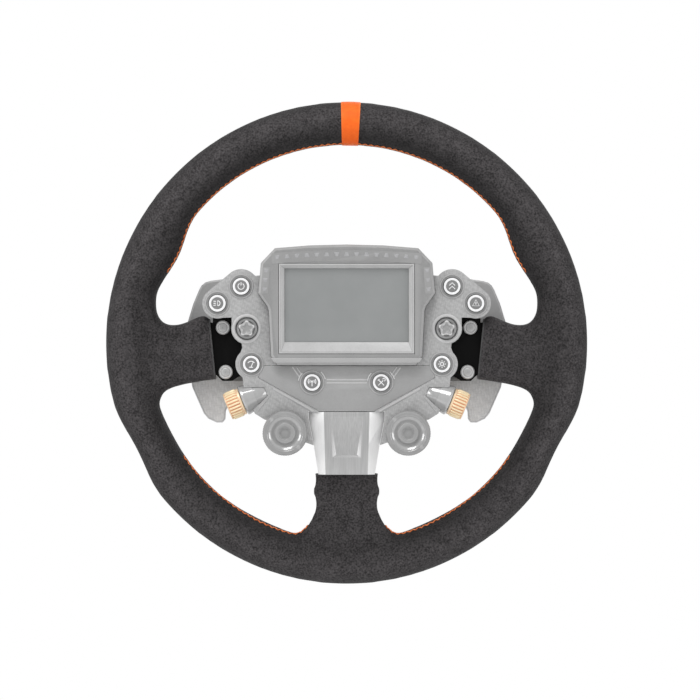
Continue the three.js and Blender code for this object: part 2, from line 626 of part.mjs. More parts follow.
// Carbon plates on the outer parts of the housing, and the plain fascia between them.
function addFacings() {
  const display = plate(grown(anticlockwise(DISPLAY_OUTLINE), GAP), FACING_FRONT - PAST, FACING_BACK + PAST);
  const fascia = plate(FASCIA, FACING_FRONT - PAST, FACING_BACK + PAST, GAP);
  const neck = plate(neckOutline(GAP), FACING_FRONT - PAST, FACING_BACK + PAST);
  let whole = hubBody(FACING_FRONT, FACING_BACK, 0).subtract(display).subtract(fascia).subtract(neck);
  for (const [, side] of SIDES) {
    const [x, z] = [side * DIAL_AT[0], DIAL_AT[1]];
    const base = disc(x, z, DIAL_BASE_RADIUS + GAP, FACING_FRONT - PAST, FACING_BACK + PAST);
    whole = whole.subtract(pod(side, GAP)).subtract(base);
  }
  whole = buttonBores(whole, FACING_FRONT, FACING_BACK);
  for (const [name, side] of SIDES) {
    const half = box(side < 0 ? -RIM_RADIUS : GAP, side < 0 ? -GAP : RIM_RADIUS,
      FACING_FRONT - PAST, FACING_BACK + PAST, -RIM_RADIUS, RIM_RADIUS);
    const pieces = whole.intersect(half).decompose();
    const largest = pieces.reduce((best, piece) => (piece.volume() > best.volume() ? piece : best));
    add(`faceplate_${name}`, 'carbon', largest);
  }
  const plain = plate(FASCIA, FACING_FRONT, FACING_BACK).subtract(display);
  add('lower_fascia', 'fascia', buttonBores(plain, FACING_FRONT, FACING_BACK));
}

// ------------------------------------------------------------------- display
const rectangle = (half, bottom, top) => [[-half, bottom], [half, bottom], [half, top], [-half, top]];

function lensOutline() {
  const steps = 10;
  const edge = (z) => Array.from({ length: steps + 1 }, (_, i) => {
    const share = (2 * i) / steps - 1;
    return [share * LENS_HALF, z - LENS_DROP * share * share];
  });
  return [...edge(LENS_BOTTOM_Z), ...edge(LENS_TOP_Z).reverse()];
}

function addDisplay() {
  const seat = DISPLAY_FRONT + LENS_DEPTH;
  const opening = rectangle(BEZEL_HALF, BEZEL_BOTTOM, BEZEL_TOP);
  let shell = plate(DISPLAY_OUTLINE, DISPLAY_FRONT, FACING_BACK, 0, DISPLAY_BEVEL);
  shell = shell.subtract(plate(opening, DISPLAY_FRONT - PAST, FACING_BACK + PAST, GAP));
  shell = shell.subtract(plate(lensOutline(), DISPLAY_FRONT - PAST, seat + GAP, GAP));
  for (const [name, side] of SIDES) {
    shell = shell.subtract(plate(onSide(SIDE_LENS, side), DISPLAY_FRONT - PAST, seat + GAP, GAP));
    add(`side_light_lens_${name}`, 'lens', plate(onSide(SIDE_LENS, side), DISPLAY_FRONT, seat));
  }
  add('display_housing', 'bezel', shell);
  add('rev_light_lens', 'lens', plate(lensOutline(), DISPLAY_FRONT, seat));

  const glassFront = DISPLAY_FRONT + SCREEN_RECESS;
  const glassBack = glassFront + GLASS_THICKNESS;
  const lip = rectangle(SCREEN_HALF, SCREEN_BOTTOM, SCREEN_TOP);
  const pane = grown(lip, GLASS_LIP);
  const panelFront = glassBack + GAP;
  const panelBack = panelFront + PANEL_THICKNESS;
  let frame = plate(opening, DISPLAY_FRONT, panelBack);
  frame = frame.subtract(bevelledOpening(lip, glassFront));
  frame = frame.subtract(plate(pane, glassFront - GAP, panelBack + PAST, GAP));
  add('display_bezel', 'bezel', frame);
  add('display_glass', 'glass', plate(pane, glassFront, glassBack));
  add('display_panel', 'panel', plate(pane, panelFront, panelBack));
}

// The bezel slopes from a thin rim in front down to the glass.
function bevelledOpening(lip, glassFront) {
  const rim = rectangle(BEZEL_HALF - BEZEL_RIM, BEZEL_BOTTOM + BEZEL_RIM, BEZEL_TOP - BEZEL_RIM);
  const corners = [];
  for (const [points, y] of [[rim, DISPLAY_FRONT], [lip, glassFront - GAP]]) {
    points.forEach(([x, z]) => corners.push([x, y, z]));
  }
  const deep = corners.slice(4).map(([x, , z]) => [x, glassFront + PAST, z]);
  const high = corners.slice(0, 4).map(([x, , z]) => [x, DISPLAY_FRONT - PAST, z]);
  const levels = [high, corners.slice(0, 4), corners.slice(4), deep];
  const positions = levels.flat().flat();
  const index = [0, 1, 2, 0, 2, 3];
  for (let level = 0; level < levels.length - 1; level += 1) {
    for (let i = 0; i < 4; i += 1) {
      const a = level * 4 + i;
      const b = level * 4 + ((i + 1) % 4);
      index.push(a, a + 4, b, b, a + 4, b + 4);
    }
  }
  const last = (levels.length - 1) * 4;
  index.push(last, last + 2, last + 1, last, last + 3, last + 2);
  const geometry = new THREE.BufferGeometry();
  geometry.setAttribute('position', new THREE.Float32BufferAttribute(positions, 3));
  geometry.setIndex(index);
  return solidOf(geometry);
}

// ------------------------------------------------------------------ controls
function addButtons() {
  const face = FACING_FRONT - BUTTON_PROUD;
  const tail = FACING_BACK + BUTTON_BODY;
  for (const [name, side] of SIDES) {
    for (const [place, x, z] of BUTTONS) {
      const cap = turned([[0, face], [BUTTON_RADIUS - BUTTON_CHAMFER, face],
        [BUTTON_RADIUS, face + BUTTON_CHAMFER], [BUTTON_RADIUS, tail], [0, tail]], side * x, z, SMALL_ROUND);
      add(`button_${place}_${name}`, 'button', cap);
    }
  }
}

const STICK_PIVOT_Y = FACING_BACK + STICK_PIVOT_DEPTH;

// The profile of a ring with square edges.
function collar(inner, outer, front, back) {
  return [[inner, front], [outer, front], [outer, back], [inner, back], [inner, front]];
}

function starOutline(x, z) {
  const steps = 4 * STICK_LOBES;
  return Array.from({ length: steps }, (_, i) => {
    const turn = (i / steps) * 2 * Math.PI;
    const radius = STICK_KNOB_RADIUS - STICK_LOBE_DEPTH * (0.5 - 0.5 * Math.cos(STICK_LOBES * turn));
    return [x + radius * Math.sin(turn), z + radius * Math.cos(turn)];
  });
}

// A stick pans in its gimbal, tilts in its cradle, is pushed in on its shaft and its knob turns.
function addSticks() {
  const front = STICK_PIVOT_Y - GIMBAL_THICKNESS / 2;
  const back = STICK_PIVOT_Y + GIMBAL_THICKNESS / 2;
  const knobBack = FACING_FRONT + STICK_DEPTH;
  const knobFront = knobBack - STICK_KNOB_HEIGHT;
  const shaftFront = knobFront + STICK_CAP;
  for (const [name, side] of SIDES) {
    const [x, z] = [side * LOBES.stick[0], LOBES.stick[1]];
    const gimbal = collar(CRADLE_RADIUS + GAP, GIMBAL_RADIUS, front, back);
    add(`stick_gimbal_${name}`, 'steel', turned(gimbal, x, z));
    const cradle = collar(SHAFT_RADIUS + PIVOT_GAP, CRADLE_RADIUS, front, back);
    add(`stick_cradle_${name}`, 'steel', turned(cradle, x, z));
    const shaft = disc(x, z, SHAFT_RADIUS, shaftFront, shaftFront + SHAFT_LENGTH, SMALL_ROUND);
    add(`stick_shaft_${name}`, 'steel', shaft);
    const knob = plate(starOutline(x, z), knobFront, knobBack, 0, STICK_BEVEL).subtract(
      disc(x, z, SHAFT_RADIUS + PIVOT_GAP, shaftFront - GAP, knobBack + PAST, SMALL_ROUND));
    add(`stick_knob_${name}`, 'stick', knob);
  }
}

function addThumbKnobs() {
  const half = THUMB_LENGTH / 2;
  const boreEnd = POD_FACE + POD_SHAFT_LENGTH;
  for (const [name, side] of SIDES) {
    const knob = onThumbAxis([[0, boreEnd + PIVOT_GAP], [POD_SHAFT_RADIUS + PIVOT_GAP, boreEnd + PIVOT_GAP],
      [POD_SHAFT_RADIUS + PIVOT_GAP, -half], [THUMB_RADIUS - THUMB_CHAMFER, -half],
      [THUMB_RADIUS, -half + THUMB_CHAMFER],
      [THUMB_RADIUS, half - THUMB_CHAMFER], [THUMB_RADIUS - THUMB_CHAMFER, half], [0, half]], side);
    add(`thumb_knob_${name}`, 'thumb', knob);
    const shaft = onThumbAxis([[0, POD_FACE - PAST], [POD_SHAFT_RADIUS, POD_FACE - PAST],
      [POD_SHAFT_RADIUS, boreEnd], [0, boreEnd]], side);
    add(`thumb_knob_housing_${name}`, 'pod', pod(side, 0).add(shaft));
  }
}

function addDials() {
  const seat = HOUSING_FRONT - GAP;
  const baseFront = seat - DIAL_BASE_HEIGHT;
  const shaftFront = baseFront - DIAL_SHAFT_LENGTH;
  const knobBack = baseFront - PIVOT_GAP;
  const knobFront = knobBack - DIAL_HEIGHT;
  const bore = DIAL_SHAFT_RADIUS + PIVOT_GAP;
  for (const [name, side] of SIDES) {
    const [x, z] = [side * DIAL_AT[0], DIAL_AT[1]];
    const base = turned([[0, shaftFront], [DIAL_SHAFT_RADIUS, shaftFront], [DIAL_SHAFT_RADIUS, baseFront],
      [DIAL_BASE_RADIUS, baseFront], [DIAL_BASE_RADIUS, seat], [0, seat]], x, z);
    add(`dial_base_${name}`, 'dial', base);
    const dish = knobFront + DIAL_DISH_DEPTH;
    const knob = turned([[0, dish], [DIAL_DISH_RADIUS - DIAL_DISH_SLOPE, dish],
      [DIAL_DISH_RADIUS, knobFront], [DIAL_RADIUS - DIAL_CHAMFER, knobFront],
      [DIAL_RADIUS, knobFront + DIAL_CHAMFER], [DIAL_RADIUS, knobBack], [bore, knobBack],
      [bore, shaftFront - PIVOT_GAP], [0, shaftFront - PIVOT_GAP]], x, z, LARGE_ROUND);
    add(`dial_${name}`, 'dial', knob);
  }
}

// ---------------------------------------------------------------------- neck
// A solid between an upper and a lower section, each listed as X and Y from the left.
function loft(sections) {
  const count = sections[0].points.length;
  const positions = [];
  sections.forEach(({ z, points }) => points.forEach(([x, y]) => positions.push(x, y, z)));
  const index = [];
  for (let i = 1; i < count - 1; i += 1) {
    index.push(0, i, i + 1);
    const last = (sections.length - 1) * count;
    index.push(last, last + i + 1, last + i);
  }
  for (let level = 0; level < sections.length - 1; level += 1) {
    for (let i = 0; i < count; i += 1) {
      const a = level * count + i;
      const b = level * count + ((i + 1) % count);
      index.push(a, a + count, b, b, a + count, b + count);
    }
  }
  const geometry = new THREE.BufferGeometry();
  geometry.setAttribute('position', new THREE.Float32BufferAttribute(positions, 3));
  geometry.setIndex(index);
  return solidOf(geometry);
}

function addNeck() {
  const back = PLATE_FRONT - GAP;
  const front = back - NECK_DEPTH;
  const levels = [[NECK_TOP, NECK_HALF[0]], [NECK_TOP - 4, NECK_HALF[0]], [NECK_MIDDLE, NECK_HALF[1]],
    [NECK_BOTTOM, NECK_HALF[2]]];
  const [wide, narrow] = NECK_FACE_HALF;
  const faceAt = (z) => THREE.MathUtils.mapLinear(z, NECK_TOP, NECK_BOTTOM, wide, narrow);
  const sections = levels.map(([z, half]) => ({
    z,
    points: [[-half, back], [-half, back - NECK_EDGE], [-faceAt(z), front], [faceAt(z), front],
      [half, back - NECK_EDGE], [half, back]],
  }));
  const neck = loft(sections).subtract(plate(NECK_DISH, front - PAST, front + NECK_DISH_DEPTH));
  add('neck_cover', 'neck', neck);
}

// ------------------------------------------------------------------- chassis
function roundedRectangle(half, bottom, top, corner) {
  const steps = 5;
  const centres = [[half - corner, top - corner, 0], [corner - half, top - corner, 90],
    [corner - half, bottom + corner, 180], [half - corner, bottom + corner, 270]];
  return centres.flatMap(([x, z, start]) => Array.from({ length: steps + 1 }, (_, i) => {
    const turn = degrees(start + (90 * i) / steps);
    return [x + corner * Math.cos(turn), z + corner * Math.sin(turn)];
  }));
}

const CASE = roundedRectangle(CHASSIS_HALF, CHASSIS_BOTTOM, CHASSIS_TOP, CHASSIS_CORNER);

function addChassis() {
  const floor = CHASSIS_FRONT + CHASSIS_SKIN;
  let chassis = plate(CASE, CHASSIS_FRONT, CHASSIS_BACK);
  const back = CHASSIS_FRONT + EAR_DEPTH;
  const bore = BOLT_RADIUS + GAP;
  for (const [, side] of SIDES) {
    for (const [, x, z] of BOLTS) {
      const root = CHASSIS_HALF - CHASSIS_WALL;
      const [low, high] = [z - EAR_RADIUS, z + EAR_RADIUS];
      const arm = [[root, low], [x, low], [x, high], [root, high]];
      chassis = chassis.add(disc(side * x, z, EAR_RADIUS, CHASSIS_FRONT, back));
      chassis = chassis.add(plate(arm.map(([ax, az]) => [side * ax, az]), CHASSIS_FRONT, back));
      chassis = chassis.subtract(disc(side * x, z, bore, CHASSIS_FRONT - PAST, back + PAST, SMALL_ROUND));
    }
  }
  chassis = chassis.subtract(plate(CASE, floor, CHASSIS_BACK + PAST, -CHASSIS_WALL));
  chassis = chassis.subtract(disc(0, 0, CABLE_HOLE_RADIUS, CHASSIS_FRONT - PAST, floor + PAST));
  add('hub_chassis', 'chassis', chassis);

  const boardFront = floor + GAP;
  const board = plate(CASE, boardFront, boardFront + BOARD_THICKNESS, -CHASSIS_WALL - GAP).subtract(
    disc(0, 0, CABLE_HOLE_RADIUS, boardFront - PAST, boardFront + BOARD_THICKNESS + PAST));
  add('main_board', 'board', board);

  const slot = rectangle(SOCKET.half, SOCKET.z - SOCKET.height / 2, SOCKET.z + SOCKET.height / 2);
  const cover = plate(CASE, COVER_FRONT, COVER_BACK).subtract(
    plate(slot, COVER_FRONT - PAST, COVER_BACK + PAST, GAP));
  add('back_cover', 'housing', cover);
  const mouth = plate(slot, COVER_BACK - SOCKET.depth / 2, COVER_BACK + PAST, -SOCKET.wall);
  add('usb_socket', 'steel', plate(slot, COVER_BACK - SOCKET.depth, COVER_BACK).subtract(mouth));
}

// ------------------------------------------------------------------- paddles
// A cylinder along Z on the paddle pin's axis.
function onPin(side, radius, bottom, top) {
  const geometry = new THREE.CylinderGeometry(radius, radius, top - bottom, SMALL_ROUND);
  geometry.rotateX(Math.PI / 2);
  geometry.translate(side * PIN_X, PADDLE_Y, (bottom + top) / 2);
  return solidOf(geometry);
}

function addPaddles() {
  const front = PADDLE_Y - PADDLE_THICKNESS / 2;
  const back = PADDLE_Y + PADDLE_THICKNESS / 2;
  const [low, lowTop] = CLUTCH_BARREL;
  const [high, highTop] = SHIFT_BARREL;
  const lugs = [[low - GAP - LUG_HEIGHT, low - GAP], [lowTop + GAP, high - GAP],
    [highTop + GAP, highTop + GAP + LUG_HEIGHT]];
  const kinds = [['shift', SHIFT_BLADE, SHIFT_BARREL], ['clutch', CLUTCH_BLADE, CLUTCH_BARREL]];
  for (const [name, side] of SIDES) {
    const wall = CHASSIS_HALF + GAP;
    const backing = [side * wall, side * (wall + BRACKET.wall)].sort((a, b) => a - b);
    let bracket = box(backing[0], backing[1], front - BRACKET.ahead, back + BRACKET.behind,
      lugs[0][0], lugs[2][1]);
    for (const [bottom, top] of lugs) {
      const reach = [side * wall, side * PIN_X].sort((a, b) => a - b);
      bracket = bracket.add(box(reach[0], reach[1], front, back, bottom, top));
      bracket = bracket.add(onPin(side, LUG_RADIUS, bottom, top));
    }
    bracket = bracket.subtract(onPin(side, PIN_RADIUS + GAP, lugs[0][0] - PAST, lugs[2][1] + PAST));
    add(`paddle_bracket_${name}`, 'chassis', bracket);
    add(`paddle_pin_${name}`, 'steel', onPin(side, PIN_RADIUS, lugs[0][0], lugs[2][1]));
    for (const [kind, blade, [bottom, top]] of kinds) {
      const barrel = onPin(side, BARREL_RADIUS, bottom, top);
      const bore = onPin(side, PIN_RADIUS + PIVOT_GAP, bottom - PAST, top + PAST);
      const paddle = plate(onSide(blade, side), front, back, 0, PADDLE_BEVEL).add(barrel).subtract(bore);
      add(`${kind}_paddle_${name}`, 'blade', paddle);
    }
  }
}

// ------------------------------------------------------ quick-release adapter
function addAdapter() {
  const flangeBack = ADAPTER_FRONT + FLANGE_THICKNESS;
  const shoulder = COLLAR_BACK - COLLAR_LENGTH - COLLAR_TRAVEL_ROOM;
  const adapter = turned([[0, ADAPTER_FRONT], [FLANGE_RADIUS, ADAPTER_FRONT], [FLANGE_RADIUS, flangeBack],
    [SHOULDER_RADIUS, flangeBack], [SHOULDER_RADIUS, shoulder], [BARREL_OUTER, shoulder],
    [BARREL_OUTER, -END_CHAMFER], [BARREL_OUTER - END_CHAMFER, 0], [0, 0]], 0, 0, LARGE_ROUND);
  add('quick_release_adapter', 'steel', adapter);
  const front = COLLAR_BACK - COLLAR_LENGTH;
  const profile = collar(BARREL_OUTER + PIVOT_GAP, COLLAR_RADIUS, front, COLLAR_BACK);
  const sleeve = turned(profile, 0, 0, LARGE_ROUND);
  add('quick_release_collar', 'dial', sleeve);
}

addRim();
addBolts();
addHousing();
addButtonBoards();
addFacings();
addDisplay();
addButtons();
addSticks();
addThumbKnobs();
addDials();
addNeck();
addChassis();
addPaddles();
addAdapter();

export default group;
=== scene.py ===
# A racing wheel for a driving simulator: a round suede rim on a black plate, and the button hub
# that it carries, with a display, buttons, sticks, knobs, dials, paddles and a quick release.
# Metres, +Z up, the driver on the -Y side. Sizes that no packed box gives are in millimetres.
import math

import bmesh
import bpy
import numpy as np
from mathutils import Matrix, Vector
from mathutils.bvhtree import BVHTree


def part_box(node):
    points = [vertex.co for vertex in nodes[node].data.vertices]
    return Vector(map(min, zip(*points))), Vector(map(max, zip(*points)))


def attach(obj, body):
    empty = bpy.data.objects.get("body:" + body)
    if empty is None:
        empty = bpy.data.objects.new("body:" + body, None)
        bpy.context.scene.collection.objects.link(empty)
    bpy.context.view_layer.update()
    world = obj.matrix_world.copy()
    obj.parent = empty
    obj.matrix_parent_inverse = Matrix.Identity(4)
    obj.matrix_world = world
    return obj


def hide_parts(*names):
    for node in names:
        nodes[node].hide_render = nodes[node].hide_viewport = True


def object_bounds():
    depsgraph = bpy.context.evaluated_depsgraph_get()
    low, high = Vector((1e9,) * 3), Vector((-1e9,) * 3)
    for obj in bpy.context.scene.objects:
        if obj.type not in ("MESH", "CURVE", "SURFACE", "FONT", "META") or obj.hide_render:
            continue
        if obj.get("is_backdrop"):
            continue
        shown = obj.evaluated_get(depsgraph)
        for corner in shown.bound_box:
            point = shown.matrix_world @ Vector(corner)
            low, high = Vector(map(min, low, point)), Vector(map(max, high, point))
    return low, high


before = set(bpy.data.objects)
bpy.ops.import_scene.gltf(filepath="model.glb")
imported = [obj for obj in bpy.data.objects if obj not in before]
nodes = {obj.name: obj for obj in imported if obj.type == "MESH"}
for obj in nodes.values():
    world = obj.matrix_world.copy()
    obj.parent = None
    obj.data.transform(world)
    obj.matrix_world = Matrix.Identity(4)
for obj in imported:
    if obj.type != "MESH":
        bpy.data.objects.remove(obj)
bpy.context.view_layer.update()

scene = bpy.context.scene
mm = 0.001
SIDES = (("left", -1), ("right", 1))


# ---------------------------------------------------------------- Studio
# A wide pale floor well below the wheel, an even white room, and soft panels above and beside it.
# The camera looks square on to the rim from the driver's side, through a long lens.
rim_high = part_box("suede_cover")[1]
plate_low, plate_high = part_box("rim_plate")
rim_y = (plate_low.y + plate_high.y) / 2

LENS, FILM = 200, 36
VIEW_WIDTH = 0.48
VIEW_X, VIEW_Z = 2.3 * mm, -4.8 * mm
camera_data = bpy.data.cameras.new("camera")
camera_data.lens, camera_data.sensor_width = LENS, FILM
camera = bpy.data.objects.new("camera", camera_data)
camera.location = (VIEW_X, rim_y - VIEW_WIDTH * LENS / FILM, VIEW_Z)
camera.rotation_euler = (math.pi / 2, 0, 0)
scene.collection.objects.link(camera)
scene.camera = camera
scene.view_settings.view_transform = "Standard"


def soft_panel(name, place, size, watts):
    light = bpy.data.lights.new(name, "AREA")
    light.size, light.energy = size, watts
    lamp = bpy.data.objects.new(name, light)
    lamp.location = place
    lamp.rotation_euler = (Vector((0, rim_y, 0)) - lamp.location).to_track_quat("-Z", "Y").to_euler()
    scene.collection.objects.link(lamp)


soft_panel("panel_above", (-0.5, -1.5, 2.2), 1.2, 26)
soft_panel("panel_left", (-2.2, -1.6, 0.5), 1.0, 12)
soft_panel("panel_right", (2.2, -1.4, 0.3), 1.0, 9)
soft_panel("panel_behind", (0.6, 2.2, 1.2), 1.2, 14)


def step(tree, kind, sockets=None, **settings):
    """Adds one node to a tree. A socket value may be a number, a colour or another node's output."""
    made = tree.nodes.new(kind)
    for name, value in settings.items():
        setattr(made, name, value)
    for name, value in (sockets or {}).items():
        if isinstance(value, bpy.types.NodeSocket):
            tree.links.new(value, made.inputs[name])
        else:
            made.inputs[name].default_value = value
    return made


room = bpy.data.worlds.new("room")
room.use_nodes = True
scene.world = room
room.node_tree.nodes.clear()
ROOM_LIGHT = 0.62
seen = step(room.node_tree, "ShaderNodeLightPath")
strength = step(room.node_tree, "ShaderNodeMapRange",
                {"Value": seen.outputs["Is Camera Ray"], "To Min": ROOM_LIGHT, "To Max": 1.0})
glow = step(room.node_tree, "ShaderNodeBackground",
            {"Color": (1, 1, 1, 1), "Strength": strength.outputs["Result"]})
step(room.node_tree, "ShaderNodeOutputWorld", {"Surface": glow.outputs[0]})


def shader_for(name, roughness=0.5, metallic=0.0, **constants):
    """A new material with one principled shader. Constants go straight on the shader's own sockets."""
    material = bpy.data.materials.new(name)
    material.use_nodes = True
    tree = material.node_tree
    tree.nodes.clear()
    shader = step(tree, "ShaderNodeBsdfPrincipled", {"Roughness": roughness, "Metallic": metallic})
    for label, value in constants.items():
        shader.inputs[label.replace("_", " ").title().replace("Ior", "IOR")].default_value = value
    step(tree, "ShaderNodeOutputMaterial", {"Surface": shader.outputs[0]})
    return material, tree, shader


def shader_group(name, inputs, outputs):
    """An empty shader group with named sockets, and its entry and exit nodes."""
    group = bpy.data.node_groups.new(name, "ShaderNodeTree")
    for label, kind, value in inputs:
        group.interface.new_socket(label, in_out="INPUT", socket_type=kind).default_value = value
    for label, kind in outputs:
        group.interface.new_socket(label, in_out="OUTPUT", socket_type=kind)
    return group, group.nodes.new("NodeGroupInput"), group.nodes.new("NodeGroupOutput")


def placed_group(tree, group, values):
    return step(tree, "ShaderNodeGroup", values, node_tree=group)


FLOAT, COLOUR, VECTOR = "NodeSocketFloat", "NodeSocketColor", "NodeSocketVector"

# Cloudy blends two colours in soft patches, with a finer speckle over them.
cloudy, entry, leave = shader_group(
    "cloudy", [("Dark", COLOUR, (0, 0, 0, 1)), ("Light", COLOUR, (1, 1, 1, 1)), ("Patch", FLOAT, 60.0),
               ("Speckle", FLOAT, 900.0), ("Speckle Share", FLOAT, 0.4)],
    [("Color", COLOUR), ("Value", FLOAT)])
where = step(cloudy, "ShaderNodeTexCoord")
patch = step(cloudy, "ShaderNodeTexNoise", {"Vector": where.outputs["Object"], "Scale": entry.outputs["Patch"],
                                            "Detail": 5.0, "Roughness": 0.6})
speckle = step(cloudy, "ShaderNodeTexNoise", {"Vector": where.outputs["Object"],
                                              "Scale": entry.outputs["Speckle"], "Detail": 2.0})
both = step(cloudy, "ShaderNodeMix", {"Factor": entry.outputs["Speckle Share"], "A": patch.outputs["Fac"],
                                      "B": speckle.outputs["Fac"]})
spread = step(cloudy, "ShaderNodeMapRange", {"Value": both.outputs[0], "From Min": 0.36, "From Max": 0.64})
tint = step(cloudy, "ShaderNodeMix", {0: spread.outputs[0], 6: entry.outputs["Dark"],
                                      7: entry.outputs["Light"]}, data_type="RGBA")
cloudy.links.new(tint.outputs[2], leave.inputs["Color"])
cloudy.links.new(spread.outputs[0], leave.inputs["Value"])


def mottled(name, roughness, dark, light, patch=60.0, speckle=900.0, **constants):
    """A finish that drifts between two colours in soft patches."""
    material, tree, shader = shader_for(name, roughness, **constants)
    tone = placed_group(tree, cloudy, {"Dark": (*dark, 1), "Light": (*light, 1), "Patch": patch,
                                       "Speckle": speckle})
    tree.links.new(tone.outputs["Color"], shader.inputs["Base Color"])
    return material, tree, shader, tone


FLOOR_RADIUS, FLOOR_Z = 2.5, -0.5
floor_mesh = bpy.data.meshes.new("floor")
work = bmesh.new()
bmesh.ops.create_circle(work, cap_ends=True, segments=96, radius=FLOOR_RADIUS,
                        matrix=Matrix.Translation((0, 0, FLOOR_Z)))
work.to_mesh(floor_mesh)
work.free()
floor = bpy.data.objects.new("floor", floor_mesh)
scene.collection.objects.link(floor)
floor_mesh.materials.append(mottled("pale_paper", 0.9, (0.86, 0.86, 0.86), (0.9, 0.9, 0.9), 3.0)[0])
floor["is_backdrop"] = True


# ---------------------------------------------------------------- Suede grip
# Moulded foam round the plate's hoop and arms, wrapped in one stretched cover of charcoal suede.
# The ring and its spokes are merged, drawn tight as cloth under pressure, and cut off at the hub.
GRIP_WIDTH, GRIP_DEPTH = 29.3 * mm, 32 * mm
ring_radius = rim_high.x - GRIP_WIDTH / 2
THUMB_REST, THUMB_REST_AT, THUMB_REST_REACH = 5.8 * mm, 27, 14
WAIST, WAIST_AT, WAIST_REACH = 4 * mm, -27, 13
PAST_END = 7 * mm
VOXEL = 2.6 * mm
SPOKE_HALF_THICKNESS = 7.6 * mm


def swelling(angle, middle, reach):
    away = abs(angle - middle)
    return math.cos(away / reach * math.pi / 2) ** 2 if away < reach else 0


def close_grid(work, rows, wrap=True):
    """Joins rows of points into quads. Each row is closed on itself, and so is the set if it wraps."""
    count = len(rows)
    for i in range(count if wrap else count - 1):
        a, b = rows[i], rows[(i + 1) % count]
        for j in range(len(a)):
            k = (j + 1) % len(a)
            work.faces.new((a[j], a[k], b[k], b[j]))


def ring_of_grip(work, around=220, section=40):
    rows = []
    for i in range(around):
        angle = 2 * math.pi * i / around
        aside = math.degrees(math.atan2(math.sin(angle), abs(math.cos(angle))))
        rest = THUMB_REST * swelling(aside, THUMB_REST_AT, THUMB_REST_REACH)
        dip = WAIST * swelling(aside, WAIST_AT, WAIST_REACH)
        row = []
        for j in range(section):
            turn = 2 * math.pi * j / section
            inward = (1 - math.cos(turn)) / 2
            radius = ring_radius + GRIP_WIDTH / 2 * math.cos(turn) - rest * inward - dip * (1 - inward)
            y = rim_y + GRIP_DEPTH / 2 * math.sin(turn)
            row.append(work.verts.new((radius * math.cos(angle), y, radius * math.sin(angle))))
        rows.append(row)
    close_grid(work, rows)


def spoke_of_grip(work, outline, outward, end):
    """A spoke from its outline. It is thin at the hub and swells to the ring's own depth."""
    spoke = bmesh.new()
    spoke.faces.new([spoke.verts.new((x * mm, 0, z * mm)) for x, z in outline])
    bmesh.ops.triangulate(spoke, faces=spoke.faces[:])
    slices = 26
    for i in range(slices):
        here = outward * (end - PAST_END + (i + 1) * (ring_radius - end + PAST_END) / slices)
        bmesh.ops.bisect_plane(spoke, geom=spoke.verts[:] + spoke.edges[:] + spoke.faces[:],
                               plane_co=here, plane_no=outward)
    bmesh.ops.triangulate(spoke, faces=spoke.faces[:])
    lifted = bmesh.ops.extrude_face_region(spoke, geom=spoke.faces[:])["geom"]
    front = {v for v in lifted if isinstance(v, bmesh.types.BMVert)}
    for v in spoke.verts:
        share = (v.co.dot(outward) - end) / (ring_radius - end)
        rise = min(max((share - 0.3) / 0.75, 0), 1) ** 2
        half = SPOKE_HALF_THICKNESS + (GRIP_DEPTH / 2 - SPOKE_HALF_THICKNESS) * rise
        v.co.y = rim_y + (-half if v in front else half)
    bmesh.ops.recalc_face_normals(spoke, faces=spoke.faces[:])
    loose = bpy.data.meshes.new("spoke")
    spoke.to_mesh(loose)
    spoke.free()
    work.from_mesh(loose)


# The side spoke's end leans a little, with a round upper corner. All three run past their ends.
SIDE_SPOKE = [(-84, -24.2), (-92, -25), (-98, -25.6), (-111, -28), (-119.9, -30), (-125.2, -32.8),
              (-129.2, -39.4), (-150.35, -41.4), (-150.35, 32.5), (-131.7, 30.5), (-130.5, 21),
              (-126.9, 13.7), (-122.7, 11.7), (-117.7, 11.5), (-110.4, 13.4), (-104, 16.7), (-99, 18.9),
              (-96.2, 18.7), (-94.4, 17.2), (-93.4, 14.8), (-92, 13), (-84, 12)]
LOWER_SPOKE = [(21.4, -83), (21.2, -91.5), (19.6, -96), (18.7, -104), (18.9, -110.9), (21.6, -119.2),
               (25.4, -124.5), (31.5, -129.7), (31.5, -150.35)]
SIDE_END, LOWER_END = 92 * mm, 90 * mm
END_LEAN = math.radians(5.7)


def mirror_x(points):
    return [(-x, z) for x, z in reversed(points)]


work = bmesh.new()
ring_of_grip(work)
spoke_of_grip(work, SIDE_SPOKE, Vector((-1, 0, 0)), SIDE_END)
spoke_of_grip(work, mirror_x(SIDE_SPOKE), Vector((1, 0, 0)), SIDE_END)
spoke_of_grip(work, LOWER_SPOKE + mirror_x(LOWER_SPOKE), Vector((0, 0, -1)), LOWER_END)
bmesh.ops.recalc_face_normals(work, faces=work.faces[:])
grip_mesh = bpy.data.meshes.new("suede_grip")
work.to_mesh(grip_mesh)
work.free()
grip = bpy.data.objects.new("suede_grip", grip_mesh)
scene.collection.objects.link(grip)


def made_plain(piece):
    """Fixes a piece's modifiers into its mesh."""
    bpy.context.view_layer.update()
    mesh = bpy.data.meshes.new_from_object(piece.evaluated_get(bpy.context.evaluated_depsgraph_get()))
    piece.modifiers.clear()
    piece.data = mesh
    return piece


merge = grip.modifiers.new("merge", "REMESH")
merge.mode, merge.voxel_size = "VOXEL", VOXEL
made_plain(grip)

SMOOTHING_PASSES = 9
work = bmesh.new()
work.from_mesh(grip.data)
for _ in range(SMOOTHING_PASSES):
    bmesh.ops.smooth_vert(work, verts=work.verts, factor=0.5, use_axis_x=True, use_axis_y=True,
                          use_axis_z=True)
work.to_mesh(grip.data)
work.free()


def points_of(mesh):
    flat = np.zeros(len(mesh.vertices) * 3, np.float32)
    mesh.vertices.foreach_get("co", flat)
    return flat.reshape(-1, 3).astype(float)


